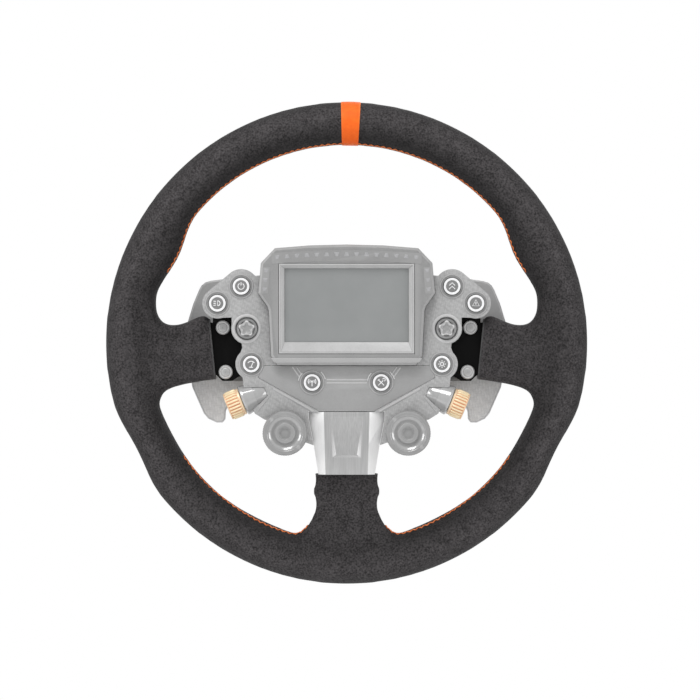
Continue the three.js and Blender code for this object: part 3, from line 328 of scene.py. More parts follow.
def normals_of(mesh):
    flat = np.zeros(len(mesh.vertices) * 3, np.float32)
    mesh.vertex_normals.foreach_get("vector", flat)
    return flat.reshape(-1, 3)


def set_points(mesh, points):
    mesh.vertices.foreach_set("co", points.astype(np.float32).ravel())
    mesh.update()


# The cover is held where it turns in at the spokes' ends and swells at most a millimetre elsewhere.
SWELL_LIMIT = 1.0 * mm
HELD_FROM_END = 12 * mm
PRESSURE, CLOTH_FRAMES = 4, 20
start = points_of(grip.data)
held = grip.vertex_groups.new(name="held")
at_end = (np.abs(start[:, 0]) < SIDE_END + HELD_FROM_END) & (np.abs(start[:, 2]) < 40 * mm)
at_end |= (np.abs(start[:, 0]) < 30 * mm) & (start[:, 2] > -LOWER_END - HELD_FROM_END) & (start[:, 2] < 0)
held.add([int(i) for i in np.nonzero(at_end)[0]], 1.0, "REPLACE")
cloth = grip.modifiers.new("stretch", "CLOTH")
cloth.settings.quality = 4
cloth.settings.vertex_group_mass = "held"
cloth.settings.use_pressure = True
cloth.settings.uniform_pressure_force = PRESSURE
cloth.settings.effector_weights.gravity = 0
cloth.collision_settings.use_collision = False
for moment in range(1, CLOTH_FRAMES + 1):
    scene.frame_set(moment)
settled = bpy.data.meshes.new_from_object(grip.evaluated_get(bpy.context.evaluated_depsgraph_get()))
moved = points_of(settled) - start
far = np.linalg.norm(moved, axis=1, keepdims=True)
moved *= np.minimum(1, SWELL_LIMIT / np.maximum(far, 1e-9))
grip.modifiers.clear()
scene.frame_set(1)
set_points(grip.data, start + moved)
grip.vertex_groups.clear()

finer = grip.modifiers.new("finer", "SUBSURF")
finer.levels = finer.render_levels = 1
made_plain(grip)

# Smoothing draws the ring in, so every point goes out along its normal until the rim is full size.
OUTLINE_GAP = 0.1 * mm
shape = points_of(grip.data)
plump = rim_high.x - OUTLINE_GAP - np.abs(shape[:, 0]).max()
set_points(grip.data, shape + normals_of(grip.data) * plump)


def cut_end(work, point, inward, near):
    """Cuts a spoke off square through the given point and returns the corners of the cut."""
    faces = [f for f in work.faces if near(f.calc_center_median())]
    edges = {e for f in faces for e in f.edges}
    verts = {v for f in faces for v in f.verts}
    bmesh.ops.bisect_plane(work, geom=list(verts) + list(edges) + faces, plane_co=point, plane_no=inward)
    beyond = [v for v in work.verts if near(v.co) and (v.co - point).dot(inward) > 1e-6]
    bmesh.ops.delete(work, geom=beyond, context="VERTS")
    rim = [e for e in work.edges if e.is_boundary]
    loop, edge = [rim[0].verts[0]], rim[0]
    while True:
        following = edge.other_vert(loop[-1])
        if following is loop[0]:
            break
        loop.append(following)
        edge = next(e for e in following.link_edges if e.is_boundary and e is not edge)
    corners = [v.co.copy() for v in loop]
    work.faces.new(loop)
    return corners


work = bmesh.new()
work.from_mesh(grip.data)
end_loops = {}
for side, sign in SIDES:
    end_loops[side] = cut_end(work, Vector((sign * SIDE_END, rim_y, -4.75 * mm)),
                              Vector((-sign * math.cos(END_LEAN), 0, math.sin(END_LEAN))),
                              lambda at, sign=sign: 70 * mm < sign * at.x < 108 * mm and abs(at.z) < 40 * mm)
end_loops["lower"] = cut_end(work, Vector((0, rim_y, -LOWER_END)), Vector((0, 0, 1)),
                             lambda at: abs(at.x) < 40 * mm and -108 * mm < at.z < -60 * mm)
bmesh.ops.recalc_face_normals(work, faces=work.faces[:])
work.to_mesh(grip.data)
work.free()
grip.data.shade_smooth()
grip.data.set_sharp_from_angle(angle=math.radians(40))

# Grained gives the surface a fine pebble or fibre relief.
grained, entry, leave = shader_group(
    "grained", [("Size", FLOAT, 1500.0), ("Depth", FLOAT, 0.3), ("Distance", FLOAT, 0.0002)],
    [("Normal", VECTOR), ("Height", FLOAT)])
where = step(grained, "ShaderNodeTexCoord")
pebble = step(grained, "ShaderNodeTexNoise", {"Vector": where.outputs["Object"], "Scale": entry.outputs["Size"],
                                              "Detail": 3.0, "Roughness": 0.7})
relief = step(grained, "ShaderNodeBump", {"Strength": entry.outputs["Depth"], "Height": pebble.outputs["Fac"],
                                          "Distance": entry.outputs["Distance"]})
grained.links.new(relief.outputs[0], leave.inputs["Normal"])
grained.links.new(pebble.outputs["Fac"], leave.inputs["Height"])

# Painted light and shade on the nap: its colour is lifted on the ring's outer crown and darkened where the surface
# turns to the inside, by the way each point faces.
NAP_FACING = (-1.0, -0.7, -0.35, 0.0, 0.35, 0.7, 1.0)
NAP_PAINTED_SHADING = (0.2, 0.28, 0.55, 0.75, 1.0, 0.8, 0.35)
at = points_of(grip.data)[:, [0, 2]]
reach = np.linalg.norm(at, axis=1, keepdims=True)
outward_share = (normals_of(grip.data)[:, [0, 2]] * at / reach).sum(axis=1)
painted_nap_shading = grip.data.attributes.new("painted_nap_shading", "FLOAT", "POINT")
painted_nap_shading.data.foreach_set("value", np.interp(outward_share, NAP_FACING, NAP_PAINTED_SHADING).astype(np.float32))

suede, tree, shader = shader_for("charcoal_suede", 0.93, sheen_weight=0.08, sheen_roughness=0.45,
                                 specular_ior_level=0.25)
nap = placed_group(tree, cloudy, {"Dark": (0.0155, 0.0142, 0.0147, 1), "Light": (0.064, 0.0595, 0.0612, 1),
                                  "Patch": 110.0, "Speckle": 820.0, "Speckle Share": 0.72})
# The nap's colour is scaled by this painted light and shade.
nap_shading_node = step(tree, "ShaderNodeAttribute", attribute_name="painted_nap_shading")
lift = step(tree, "ShaderNodeMapRange", {"Value": nap_shading_node.outputs["Fac"], "To Min": 0.25, "To Max": 1.45})
toned = step(tree, "ShaderNodeVectorMath", {0: nap.outputs["Color"], 3: lift.outputs[0]}, operation="SCALE")
tree.links.new(toned.outputs[0], shader.inputs["Base Color"])
fibre = placed_group(tree, grained, {"Size": 2200.0, "Depth": 0.55, "Distance": 0.0004})
tree.links.new(fibre.outputs["Normal"], shader.inputs["Normal"])
grip.data.materials.append(suede)

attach(grip, "hub")
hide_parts("suede_cover", "foam_grip")

# ---------------------------------------------------------------- Turned edges
# Where the cover meets the hub its edge is folded under, which leaves a soft rolled lip of suede.
# Each lip is a thin bead that follows the cut end of its spoke.


def bead(name, loop, thickness, closed=True):
    curve = bpy.data.curves.new(name, "CURVE")
    curve.dimensions, curve.bevel_depth, curve.bevel_resolution = "3D", thickness, 3
    line = curve.splines.new("POLY")
    line.points.add(len(loop) - 1)
    line.points.foreach_set("co", [x for p in loop for x in (*p, 1)])
    line.use_cyclic_u = closed
    piece = bpy.data.objects.new(name, curve)
    scene.collection.objects.link(piece)
    mesh = bpy.data.meshes.new_from_object(piece)
    bpy.data.objects.remove(piece)
    piece = bpy.data.objects.new(name, mesh)
    scene.collection.objects.link(piece)
    mesh.shade_smooth()
    return piece


lip_suede, tree, shader, _ = mottled("turned_suede", 0.9, (0.035, 0.035, 0.036), (0.085, 0.083, 0.084),
                                     200.0, 1500.0, sheen_weight=0.3, sheen_roughness=0.4)
tree.links.new(placed_group(tree, grained, {"Size": 2600.0, "Depth": 0.5}).outputs["Normal"],
               shader.inputs["Normal"])
LIP_RADIUS = 0.6 * mm
for side, loop in end_loops.items():
    centre = sum(loop, Vector()) / len(loop)
    drawn_in = [p + (centre - p).normalized() * LIP_RADIUS * 0.7 for p in loop]
    lip = bead(f"suede_lip_{side}", drawn_in, LIP_RADIUS)
    lip.data.materials.append(lip_suede)
    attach(lip, "hub")

# ---------------------------------------------------------------- Centre stripe
# A band of smooth orange leather let into the suede at the top, so the driver can see straight ahead.
# It wraps once round the grip, and both long edges are rolled down into a dark sewn joint.
surface = BVHTree.FromPolygons([v.co for v in grip.data.vertices], [p.vertices for p in grip.data.polygons])
stripe_low, stripe_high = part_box("centre_stripe")
stripe_middle = (stripe_low.x + stripe_high.x) / 2
stripe_half = (stripe_high.x - stripe_low.x) / 2
STRIPE_SECTION = [(-1, -1.6), (-1, -0.2), (-0.985, 0.2), (-0.95, 0.42), (-0.88, 0.36), (-0.82, 0.44), (-0.4, 0.5),
                  (0, 0.52), (0.4, 0.5), (0.82, 0.44), (0.88, 0.36), (0.95, 0.42), (0.985, 0.2), (1, -0.2),
                  (1, -1.6)]
work = bmesh.new()
rows = []
for j in range(96):
    turn = 2 * math.pi * j / 96
    row = []
    for across, lift in STRIPE_SECTION:
        x = stripe_middle + across * stripe_half
        spin = Matrix.Rotation(math.asin(x / ring_radius), 3, "Y")
        core = spin @ Vector((0, rim_y, ring_radius))
        way = spin @ Vector((0, math.sin(turn), math.cos(turn)))
        hit = surface.ray_cast(core + way * GRIP_DEPTH, -way)[0]
        row.append(work.verts.new(hit + way * lift * mm))
    rows.append(row)
close_grid(work, rows)
bmesh.ops.recalc_face_normals(work, faces=work.faces[:])


def piece_from(name, work, materials, smooth_angle=35):
    """Turns worked-up geometry into an object, with its sharp edges kept above the given angle."""
    mesh = bpy.data.meshes.new(name)
    work.to_mesh(mesh)
    work.free()
    for material in materials:
        mesh.materials.append(material)
    mesh.shade_smooth()
    mesh.set_sharp_from_angle(angle=math.radians(smooth_angle))
    piece = bpy.data.objects.new(name, mesh)
    scene.collection.objects.link(piece)
    return piece


def fitted(piece, body, slot, *stood_for):
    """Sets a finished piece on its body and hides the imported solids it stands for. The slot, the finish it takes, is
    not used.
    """
    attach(piece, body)
    if stood_for:
        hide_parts(*stood_for)
    return piece


orange, tree, shader = shader_for("orange_leather", 0.6, specular_ior_level=0.3)
where = step(tree, "ShaderNodeTexCoord")
parts = step(tree, "ShaderNodeSeparateXYZ", {"Vector": where.outputs["Object"]})
# Painted light and shade: the leather is a lighter orange high on the ring and a darker orange where it turns down to
# the inside.
rise = step(tree, "ShaderNodeMapRange", {"Value": parts.outputs["Z"], "From Min": 0.137, "From Max": 0.158})
shaded_orange = placed_group(tree, cloudy, {"Dark": (0.86, 0.115, 0.006, 1), "Light": (0.97, 0.145, 0.008, 1),
                                       "Patch": 220.0, "Speckle": 2500.0, "Speckle Share": 0.3})
lit_orange = placed_group(tree, cloudy, {"Dark": (0.93, 0.135, 0.008, 1), "Light": (1.0, 0.18, 0.012, 1),
                                        "Patch": 220.0, "Speckle": 2500.0, "Speckle Share": 0.3})
tone = step(tree, "ShaderNodeMix", {0: rise.outputs[0], 6: shaded_orange.outputs["Color"],
                                    7: lit_orange.outputs["Color"]}, data_type="RGBA")
# Painted highlight: the colour goes paler towards both long edges, where the rolled edges catch the light.
offset = step(tree, "ShaderNodeMath", {0: parts.outputs["X"], 1: stripe_middle}, operation="SUBTRACT")
aside = step(tree, "ShaderNodeMath", {0: offset.outputs[0]}, operation="ABSOLUTE")
edge = step(tree, "ShaderNodeMapRange", {"Value": aside.outputs[0], "From Min": stripe_half * 0.86,
                                         "From Max": stripe_half * 0.97, "To Max": 0.35})
edge_highlighted = step(tree, "ShaderNodeMix", {0: edge.outputs[0], 6: tone.outputs[2], 7: (1.0, 0.3, 0.07, 1)},
             data_type="RGBA")
tree.links.new(edge_highlighted.outputs[2], shader.inputs["Base Color"])
tree.links.new(placed_group(tree, grained, {"Size": 1600.0, "Depth": 0.25}).outputs["Normal"],
               shader.inputs["Normal"])
fitted(piece_from("orange_stripe", work, [orange], 60), "hub", "orange_suede", "centre_stripe")

# ---------------------------------------------------------------- Stitching
# The cover is closed along the inside of the rim with a crossed stitch in waxed orange thread, over
# a folded joint drawn as a near-black bead, partly the joint's own dark colour and partly painted shadow
# in its groove. The stitches are laid along lines that follow the finished suede.
SEAM_TURN = math.radians(20)
STITCHED = {"top": ((22, 158), (0, 0)), "lower_left": ((212, 266), (-62, -74)),
            "lower_right": ((274, 328), (62, -74))}
STITCH_PITCH, STITCH_SLANT = 2.1 * mm, math.radians(38)
INTEGER, OBJECT, MATERIAL = "NodeSocketInt", "NodeSocketObject", "NodeSocketMaterial"


def geometry_tree(name, inputs):
    tree = bpy.data.node_groups.new(name, "GeometryNodeTree")
    tree.interface.new_socket("Geometry", in_out="INPUT", socket_type="NodeSocketGeometry")
    for label, kind in inputs:
        tree.interface.new_socket(label, in_out="INPUT", socket_type=kind)
    tree.interface.new_socket("Geometry", in_out="OUTPUT", socket_type="NodeSocketGeometry")
    return tree, tree.nodes.new("NodeGroupInput"), tree.nodes.new("NodeGroupOutput")


# One tree sets copies of a small piece along a line, each turned a little more or less than the last.
along_line, entry, leave = geometry_tree("pieces_along_a_line", [
    ("Piece", OBJECT), ("Pitch", FLOAT), ("Slant", FLOAT), ("Finish", MATERIAL)])
line = step(along_line, "GeometryNodeMeshToCurve", {"Mesh": entry.outputs["Geometry"]})
spots = step(along_line, "GeometryNodeCurveToPoints",
             {"Curve": line.outputs[0], "Length": entry.outputs["Pitch"]}, mode="LENGTH")
outward = step(along_line, "GeometryNodeInputNamedAttribute", {"Name": "outward"}, data_type="FLOAT_VECTOR")
aim = step(along_line, "FunctionNodeAxesToRotation",
           {"Primary Axis": next(s for s in outward.outputs if s.enabled), "Secondary Axis": spots.outputs["Tangent"]},
           primary_axis="Z", secondary_axis="X")
odd = step(along_line, "ShaderNodeMath", {0: step(along_line, "GeometryNodeInputIndex").outputs[0], 1: 2.0},
           operation="MODULO")
sway = step(along_line, "ShaderNodeMapRange", {"Value": odd.outputs[0], "To Min": -1.0, "To Max": 1.0})
slant = step(along_line, "ShaderNodeMath", {0: sway.outputs[0], 1: entry.outputs["Slant"]}, operation="MULTIPLY")
twist = step(along_line, "FunctionNodeAxisAngleToRotation", {"Axis": (0, 0, 1), "Angle": slant.outputs[0]})
turned = step(along_line, "FunctionNodeRotateRotation",
              {"Rotation": aim.outputs[0], "Rotate By": twist.outputs[0]}, rotation_space="LOCAL")
copy = step(along_line, "GeometryNodeObjectInfo", {"Object": entry.outputs["Piece"]}, transform_space="ORIGINAL")
set_down = step(along_line, "GeometryNodeInstanceOnPoints", {
    "Points": spots.outputs["Points"], "Instance": copy.outputs["Geometry"], "Rotation": turned.outputs[0]})
real = step(along_line, "GeometryNodeRealizeInstances", {"Geometry": set_down.outputs[0]})
finish = step(along_line, "GeometryNodeSetMaterial", {"Geometry": real.outputs[0],
                                                      "Material": entry.outputs["Finish"]})
along_line.links.new(finish.outputs[0], leave.inputs[0])


def line_mesh(points, outwards):
    mesh = bpy.data.meshes.new("line")
    mesh.from_pydata(points, [(i, i + 1) for i in range(len(points) - 1)], [])
    attribute = mesh.attributes.new("outward", "FLOAT_VECTOR", "POINT")
    attribute.data.foreach_set("vector", [x for way in outwards for x in way])
    return mesh


def grown_by(name, mesh, tree, values, smooth_angle=40):
    """Runs a geometry tree on a mesh and keeps the plain result."""
    piece = bpy.data.objects.new(name, mesh)
    scene.collection.objects.link(piece)
    maker = piece.modifiers.new("maker", "NODES")
    maker.node_group = tree
    for item in tree.interface.items_tree:
        if item.in_out == "INPUT" and item.name in values:
            maker[item.identifier] = values[item.name]
    made_plain(piece)
    piece.data.shade_smooth()
    piece.data.set_sharp_from_angle(angle=math.radians(smooth_angle))
    return piece


def pattern_piece(build, *arguments, **sizes):
    """A small template for repeated pieces, which isn't shown itself."""
    work = bmesh.new()
    build(work, *arguments, **sizes)
    mesh = bpy.data.meshes.new("pattern")
    work.to_mesh(mesh)
    work.free()
    template = bpy.data.objects.new("pattern", mesh)
    scene.collection.objects.link(template)
    return template


def bead_of_thread(work, length, thickness):
    bmesh.ops.create_uvsphere(work, u_segments=8, v_segments=6, radius=1)
    for v in work.verts:
        bend = 1 - (v.co.x ** 2)
        v.co = Vector((v.co.x * length, v.co.y * thickness, v.co.z * thickness + bend * thickness * 0.6))


thread, tree, shader, _ = mottled("waxed_thread", 0.55, (0.5, 0.1, 0.02), (0.95, 0.27, 0.07), 300.0, 3500.0)
where = step(tree, "ShaderNodeTexCoord")
twine = step(tree, "ShaderNodeTexWave", {"Vector": where.outputs["Object"], "Scale": 900.0, "Distortion": 1.5},
             bands_direction="DIAGONAL")
relief = step(tree, "ShaderNodeBump", {"Strength": 0.5, "Height": twine.outputs["Fac"], "Distance": 0.0002})
tree.links.new(relief.outputs[0], shader.inputs["Normal"])

# Near-black bead: partly the joint's own colour and partly painted shadow in the seam's groove.
joint_suede = mottled("seam_shadow", 0.95, (0.006, 0.006, 0.006), (0.016, 0.0155, 0.016))[0]

stitch = pattern_piece(bead_of_thread, length=1.75 * mm, thickness=0.5 * mm)
seam_y = rim_y - GRIP_DEPTH / 2 * math.sin(SEAM_TURN)
for place, ((first, last), (hole_x, hole_z)) in STITCHED.items():
    points, outwards = [], []
    middle_of_hole = Vector((hole_x * mm, seam_y, hole_z * mm))
    for half_degrees in range(2 * first, 2 * last + 1):
        angle = math.radians(half_degrees / 2)
        aim_at = Vector((ring_radius * math.cos(angle), seam_y, ring_radius * math.sin(angle)))
        spot, way = surface.ray_cast(middle_of_hole, (aim_at - middle_of_hole).normalized())[:2]
        points.append(spot + way * 0.12 * mm)
        outwards.append(way)
    row = grown_by(f"stitches_{place}", line_mesh(points, outwards), along_line,
                   {"Piece": stitch, "Pitch": STITCH_PITCH, "Slant": STITCH_SLANT, "Finish": thread})
    fitted(row, "hub", "orange_suede")
    joint = bead(f"seam_{place}", [p - w * 0.25 * mm for p, w in zip(points, outwards)], 0.45 * mm, closed=False)
    joint.data.materials.append(joint_suede)
    fitted(joint, "hub", "suede")
bpy.data.objects.remove(stitch)

# ---------------------------------------------------------------- Rim plate
# The wheel's backbone: one plate with a hoop inside the grip and three arms, cut from aluminium and
# anodised black. Only its tabs at the hub and the ends of its arms show.


def softened(name, node, materials, radius=0.4, segments=2, angle=30, edge_slot=-1):
    """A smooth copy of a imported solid, with its flat faces joined and its sharp edges rounded."""
    work = bmesh.new()
    work.from_mesh(nodes[node].data)
    bmesh.ops.remove_doubles(work, verts=work.verts, dist=2e-6)
    bmesh.ops.dissolve_limit(work, angle_limit=math.radians(1), verts=work.verts, edges=work.edges)
    piece = piece_from(name, work, materials, 30)
    round_off = piece.modifiers.new("round", "BEVEL")
    round_off.width, round_off.segments = radius * mm, segments
    round_off.limit_method, round_off.angle_limit = "ANGLE", math.radians(angle)
    round_off.material = edge_slot
    made_plain(piece)
    piece.data.shade_smooth()
    piece.data.set_sharp_from_angle(angle=math.radians(32))
    return piece


# This group lightens the convex edges of a piece: partly rubbed wear, partly painted highlight along edges that catch
# the light.
edge_wear_and_highlight, entry, leave = shader_group(
    "edge_wear_and_highlight", [("Color", COLOUR, (0.5, 0.5, 0.5, 1)), ("Edge", COLOUR, (0.8, 0.8, 0.8, 1)), ("Amount", FLOAT, 0.6)],
    [("Color", COLOUR)])
convex_share = step(edge_wear_and_highlight, "ShaderNodeMapRange", {"Value": step(edge_wear_and_highlight, "ShaderNodeNewGeometry").outputs["Pointiness"],
                                         "From Min": 0.52, "From Max": 0.6})
share = step(edge_wear_and_highlight, "ShaderNodeMath", {0: convex_share.outputs[0], 1: entry.outputs["Amount"]}, operation="MULTIPLY")
lightened_edges = step(edge_wear_and_highlight, "ShaderNodeMix", {0: share.outputs[0], 6: entry.outputs["Color"], 7: entry.outputs["Edge"]},
              data_type="RGBA")
edge_wear_and_highlight.links.new(lightened_edges.outputs[2], leave.inputs[0])


def moulded(name, grey, roughness, metallic=0.0, depth=0.2, size=1500.0, edge=1.25, amount=0.5, **constants):
    """A grained plastic or metal finish about one colour, with lighter convex edges: partly rubbed wear, partly
    painted highlight.
    """
    material, tree, shader = shader_for(name, roughness, metallic, **constants)
    red, green, blue = grey if isinstance(grey, tuple) else (grey, grey, grey)
    tone = placed_group(tree, cloudy, {"Dark": (red * 0.93, green * 0.93, blue * 0.93, 1),
                                       "Light": (red * 1.06, green * 1.06, blue * 1.06, 1), "Patch": 90.0})
    lit = tuple(min(1, c * edge) for c in (red, green, blue)) + (1,)
    lightened_edges = placed_group(tree, edge_wear_and_highlight, {"Color": tone.outputs["Color"], "Edge": lit, "Amount": amount})
    tree.links.new(lightened_edges.outputs[0], shader.inputs["Base Color"])
    grain = placed_group(tree, grained, {"Size": size, "Depth": depth, "Distance": 0.0001})
    tree.links.new(grain.outputs["Normal"], shader.inputs["Normal"])
    return material


# Painted highlight: its edges are lifted to six times the face's tone, for the bright line along the plate's edges.
black_anodised = moulded("black_anodised", 0.0022, 0.5, depth=0.1, size=2600.0, edge=6.0,
                         specular_ior_level=0.12)
fitted(softened("rim_backbone", "rim_plate", [black_anodised], 0.5), "hub", "black_plate", "rim_plate")

# ---------------------------------------------------------------- Rim bolts
# Four flat-headed steel bolts hold the rim plate's tabs to the hub.
# Each head is turned, with a chamfer and a raised ring round its dished middle, both painted pale as highlights.


def spun(name, profile, place, materials, sides=96, closed=False, smooth_angle=32):
    """A turned piece. The profile lists radius and height in millimetres, and the material from there on."""
    work = bmesh.new()
    rows = []
    for radius, height, *_ in profile:
        if not callable(radius) and radius == 0:
            rows.append([work.verts.new(place @ Vector((0, 0, height * mm)))])
            continue
        row = []
        for i in range(sides):
            turn = 2 * math.pi * i / sides
            r = (radius(turn) if callable(radius) else radius) * mm
            row.append(work.verts.new(place @ Vector((r * math.cos(turn), r * math.sin(turn), height * mm))))
        rows.append(row)
    pairs = list(zip(rows, rows[1:])) + ([(rows[-1], rows[0])] if closed else [])
    for (a, b), (_, _, *index) in zip(pairs, profile):
        for i in range(sides):
            j = (i + 1) % sides
            if len(a) == 1:
                face = work.faces.new((a[0], b[i], b[j]))
            elif len(b) == 1:
                face = work.faces.new((a[i], a[j], b[0]))
            else:
                face = work.faces.new((a[i], a[j], b[j], b[i]))
            face.material_index = index[0] if index else 0
    bmesh.ops.recalc_face_normals(work, faces=work.faces[:])
    return piece_from(name, work, materials, smooth_angle)


def facing(x, y, z):
    """A place on the front of the wheel: local X is to the right, local Y is up, local Z is to the driver."""
    return Matrix.Translation((x, y, z)) @ Matrix.Rotation(math.pi / 2, 4, "X")


bolt_steel = moulded("bolt_steel", 0.46, 0.34, 0.3, depth=0.1, size=3000.0, edge=1.5)
# Painted highlight: the chamfer and the raised ring take this paler steel.
bolt_highlight = moulded("bolt_highlight", 0.68, 0.25, 0.2, depth=0.05, size=3000.0, edge=1.2)
for side, sign in SIDES:
    for level in ("upper", "lower"):
        name = f"rim_bolt_{side}_{level}"
        low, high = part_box(name)
        height = (high.y - low.y) / mm
        at = facing((low.x + high.x) / 2, high.y, (low.z + high.z) / 2)
        fitted(spun(name + "_turned", [
            (0, 0), (2.5, 0), (2.5, height - 2.8), (4.75, height - 2.8), (4.85, height - 2.6), (4.85, height - 0.75),
            (4.2, height - 0.05, 1), (3.7, height, 1), (3.4, height - 0.35), (2.9, height - 0.4), (2.6, height - 0.12, 1),
            (2.3, height - 0.05), (0.6, height - 0.05), (0.4, height - 0.3), (0, height - 0.3)], at,
            [bolt_steel, bolt_highlight]), "hub", "bolt_steel", name)

# ---------------------------------------------------------------- Front housing
# The hub's moulded shell: one flat wing each side with a round lobe under every control, joined by
# a spine behind the display. It is hollow from the front, with a boss round each stick.
LOBES = {"top": (71.9, 38.6, 11.8), "outer": (88.1, 27.0, 10.3), "stick": (68.1, 9.8, 10.6),
         "low": (65.0, -14.4, 10.8), "dial": (41.8, -61.3, 14.2)}
WEB = [(-46, 47), (-66, 45.6), (-86, 24), (-86, 17.2), (-78.4, 17.4), (-78.4, 10), (-71.5, -0.6),
       (-71.2, -3.4), (-72.4, -6.5), (-64, -22), (-46, -22)]
SHOULDER = [(-46, -8), (-66, -8), (-71, -23), (-70, -31), (-62.6, -48.1), (-56.1, -52.2), (-40, -56),
            (-40, -24)]
DIAL_WEB = [(-40, -46), (-52, -54), (-42, -70), (-28, -67.8), (-18, -71.5), (-14, -46)]
SPINE = [(-48, 60), (-48, -46.5), (48, -46.5), (48, 60)]
DISPLAY = [(-60.2, 33.8), (-54.1, 25.1), (-53, 22), (-51.4, -9), (-47, -15.2), (47, -15.2), (51.4, -9),
           (53, 22), (54.1, 25.1), (60.2, 33.8), (58.4, 54.4), (48.8, 64.5), (25, 66.4), (0, 67),
           (-25, 66.4), (-48.8, 64.5), (-58.4, 54.4)]
FASCIA = [(-57, -15.6), (-60, -23.6), (-18.4, -46.5), (18.4, -46.5), (60, -23.6), (57, -15.6)]
NECK = [(26, -47), (26, -51), (22.6, -69), (19.2, -89.8), (-19.2, -89.8), (-22.6, -69), (-26, -51), (-26, -47)]
SLIT = 0.3                      # between neighbouring fixed pieces
WALL, PAST = 2, 1
BUTTON_BORE, STICK_WELL, GIMBAL_BORE, DIAL_SEAT = 6.15, 8, 7.5, 12.8
housing_low, housing_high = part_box("front_housing")
housing_front, housing_back = housing_low.y / mm, housing_high.y / mm


def widened(points, distance):
    """The outline with every edge moved outward."""
    area = sum(a[0] * b[1] - b[0] * a[1] for a, b in zip(points, points[1:] + points[:1]))
    points = points if area > 0 else points[::-1]
    result = []
    for before, point, after in zip(points[-1:] + points[:-1], points, points[1:] + points[:1]):
        first = Vector((point[1] - before[1], before[0] - point[0])).normalized()
        second = Vector((after[1] - point[1], point[0] - after[0])).normalized()
        shift = (first + second) * distance / (1 + first.dot(second))
        result.append((point[0] + shift.x, point[1] + shift.y))
    return result


def slab(points, front, back):
    """A flat solid with the given outline, in millimetres, seen from the front."""
    work = bmesh.new()
    face = work.faces.new([work.verts.new((x * mm, front * mm, z * mm)) for x, z in points])
    lifted = bmesh.ops.extrude_face_region(work, geom=[face])["geom"]
    for v in lifted:
        if isinstance(v, bmesh.types.BMVert):
            v.co.y = back * mm
    bmesh.ops.recalc_face_normals(work, faces=work.faces[:])
    return piece_from("slab", work, [])


def round_outline(x, z, radius, sides=72):
    return [(x + radius * math.cos(2 * math.pi * i / sides), z + radius * math.sin(2 * math.pi * i / sides))
            for i in range(sides)]


def tangent_link(a, b):
    """The tapered bridge along the outside of two round lobes."""
    along = math.atan2(b[1] - a[1], b[0] - a[0])
    lean = math.acos((a[2] - b[2]) / math.hypot(b[0] - a[0], b[1] - a[1]))
    return [(x + r * math.cos(along + way), z + r * math.sin(along + way))
            for (x, z, r), way in ((a, -lean), (b, -lean), (b, lean), (a, lean))]


def hub_slabs(front, back, inset):
    """Every flat solid that the hub's outline is made of, drawn in by the given wall."""
    outlines = [widened(SPINE, -inset), widened(DISPLAY, -PAST - inset)]
    for _, sign in SIDES:
        outlines += [round_outline(sign * x, z, radius - inset) for x, z, radius in LOBES.values()]
        lobes = [(sign * x, z, radius - inset) for x, z, radius in (LOBES["top"], LOBES["outer"])]
        outlines.append(tangent_link(*lobes))
        outlines += [widened(points if sign < 0 else mirror_x(points), -inset)
                     for points in (WEB, SHOULDER, DIAL_WEB)]
    return [slab(points, front, back) for points in outlines]


def carved(base, added=(), cut=(), kept=()):
    """Joins solids to a base, then cuts others out of it. The solids are used up."""
    for solids, operation in ((added, "UNION"), (cut, "DIFFERENCE"), (kept, "INTERSECT")):
        if not solids:
            continue
        tools = bpy.data.collections.new("tools")
        for solid in solids:
            tools.objects.link(solid)
        change = base.modifiers.new(operation.lower(), "BOOLEAN")
        change.operation, change.operand_type, change.collection = operation, "COLLECTION", tools
        change.solver = "EXACT"
        made_plain(base)
        for solid in solids:
            bpy.data.objects.remove(solid)
        bpy.data.collections.remove(tools)
    return base


def eased(piece, radius, materials, edge_slot=-1, segments=2, angle=28, smooth_angle=32):
    """Joins a carved piece's flat faces, rounds its sharp edges and gives it its materials."""
    work = bmesh.new()
    work.from_mesh(piece.data)
    bmesh.ops.remove_doubles(work, verts=work.verts, dist=5e-6)
    bmesh.ops.dissolve_limit(work, angle_limit=math.radians(0.5), verts=work.verts, edges=work.edges)
    work.to_mesh(piece.data)
    work.free()
    piece.data.materials.clear()
    for material in materials:
        piece.data.materials.append(material)
    round_off = piece.modifiers.new("round", "BEVEL")
    round_off.width, round_off.segments = radius * mm, segments
    round_off.limit_method, round_off.angle_limit = "ANGLE", math.radians(angle)
    round_off.material = edge_slot
    made_plain(piece)
    piece.data.shade_smooth()
    piece.data.set_sharp_from_angle(angle=math.radians(smooth_angle))
    return piece


def named(piece, name):
    piece.name = piece.data.name = name
    return piece


def both_sides(x, z, radius, front, back):
    return [slab(round_outline(sign * x, z, radius), front, back) for _, sign in SIDES]


THUMB_TILT = math.radians(22)
THUMB_LENGTH, THUMB_GAP = 10.8, 0.35


def thumb_place(side):
    """A place on a thumb knob's axis: local Z points outward, and the knob's middle is at zero."""
    sign = -1 if side == "left" else 1
    low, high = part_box(f"thumb_knob_{side}")
    away = Vector((sign * math.cos(THUMB_TILT), 0, -math.sin(THUMB_TILT)))
    return Matrix.Translation((low + high) / 2) @ away.to_track_quat("Z", "Y").to_matrix().to_4x4()


POD_FACE = -THUMB_LENGTH / 2 - THUMB_GAP
POD_PROFILE = [(0, POD_FACE - 17), (6.4, POD_FACE - 17), (10.4, POD_FACE - 2), (10.4, POD_FACE - 0.8),
               (9.6, POD_FACE), (0, POD_FACE)]


def pod_cut(side):
    wider = [(r + SLIT if r else 0, h + (SLIT if h == POD_FACE else -SLIT if r < 7 else 0)) for r, h in POD_PROFILE]
    return spun("pod_cut", wider, thumb_place(side), [])


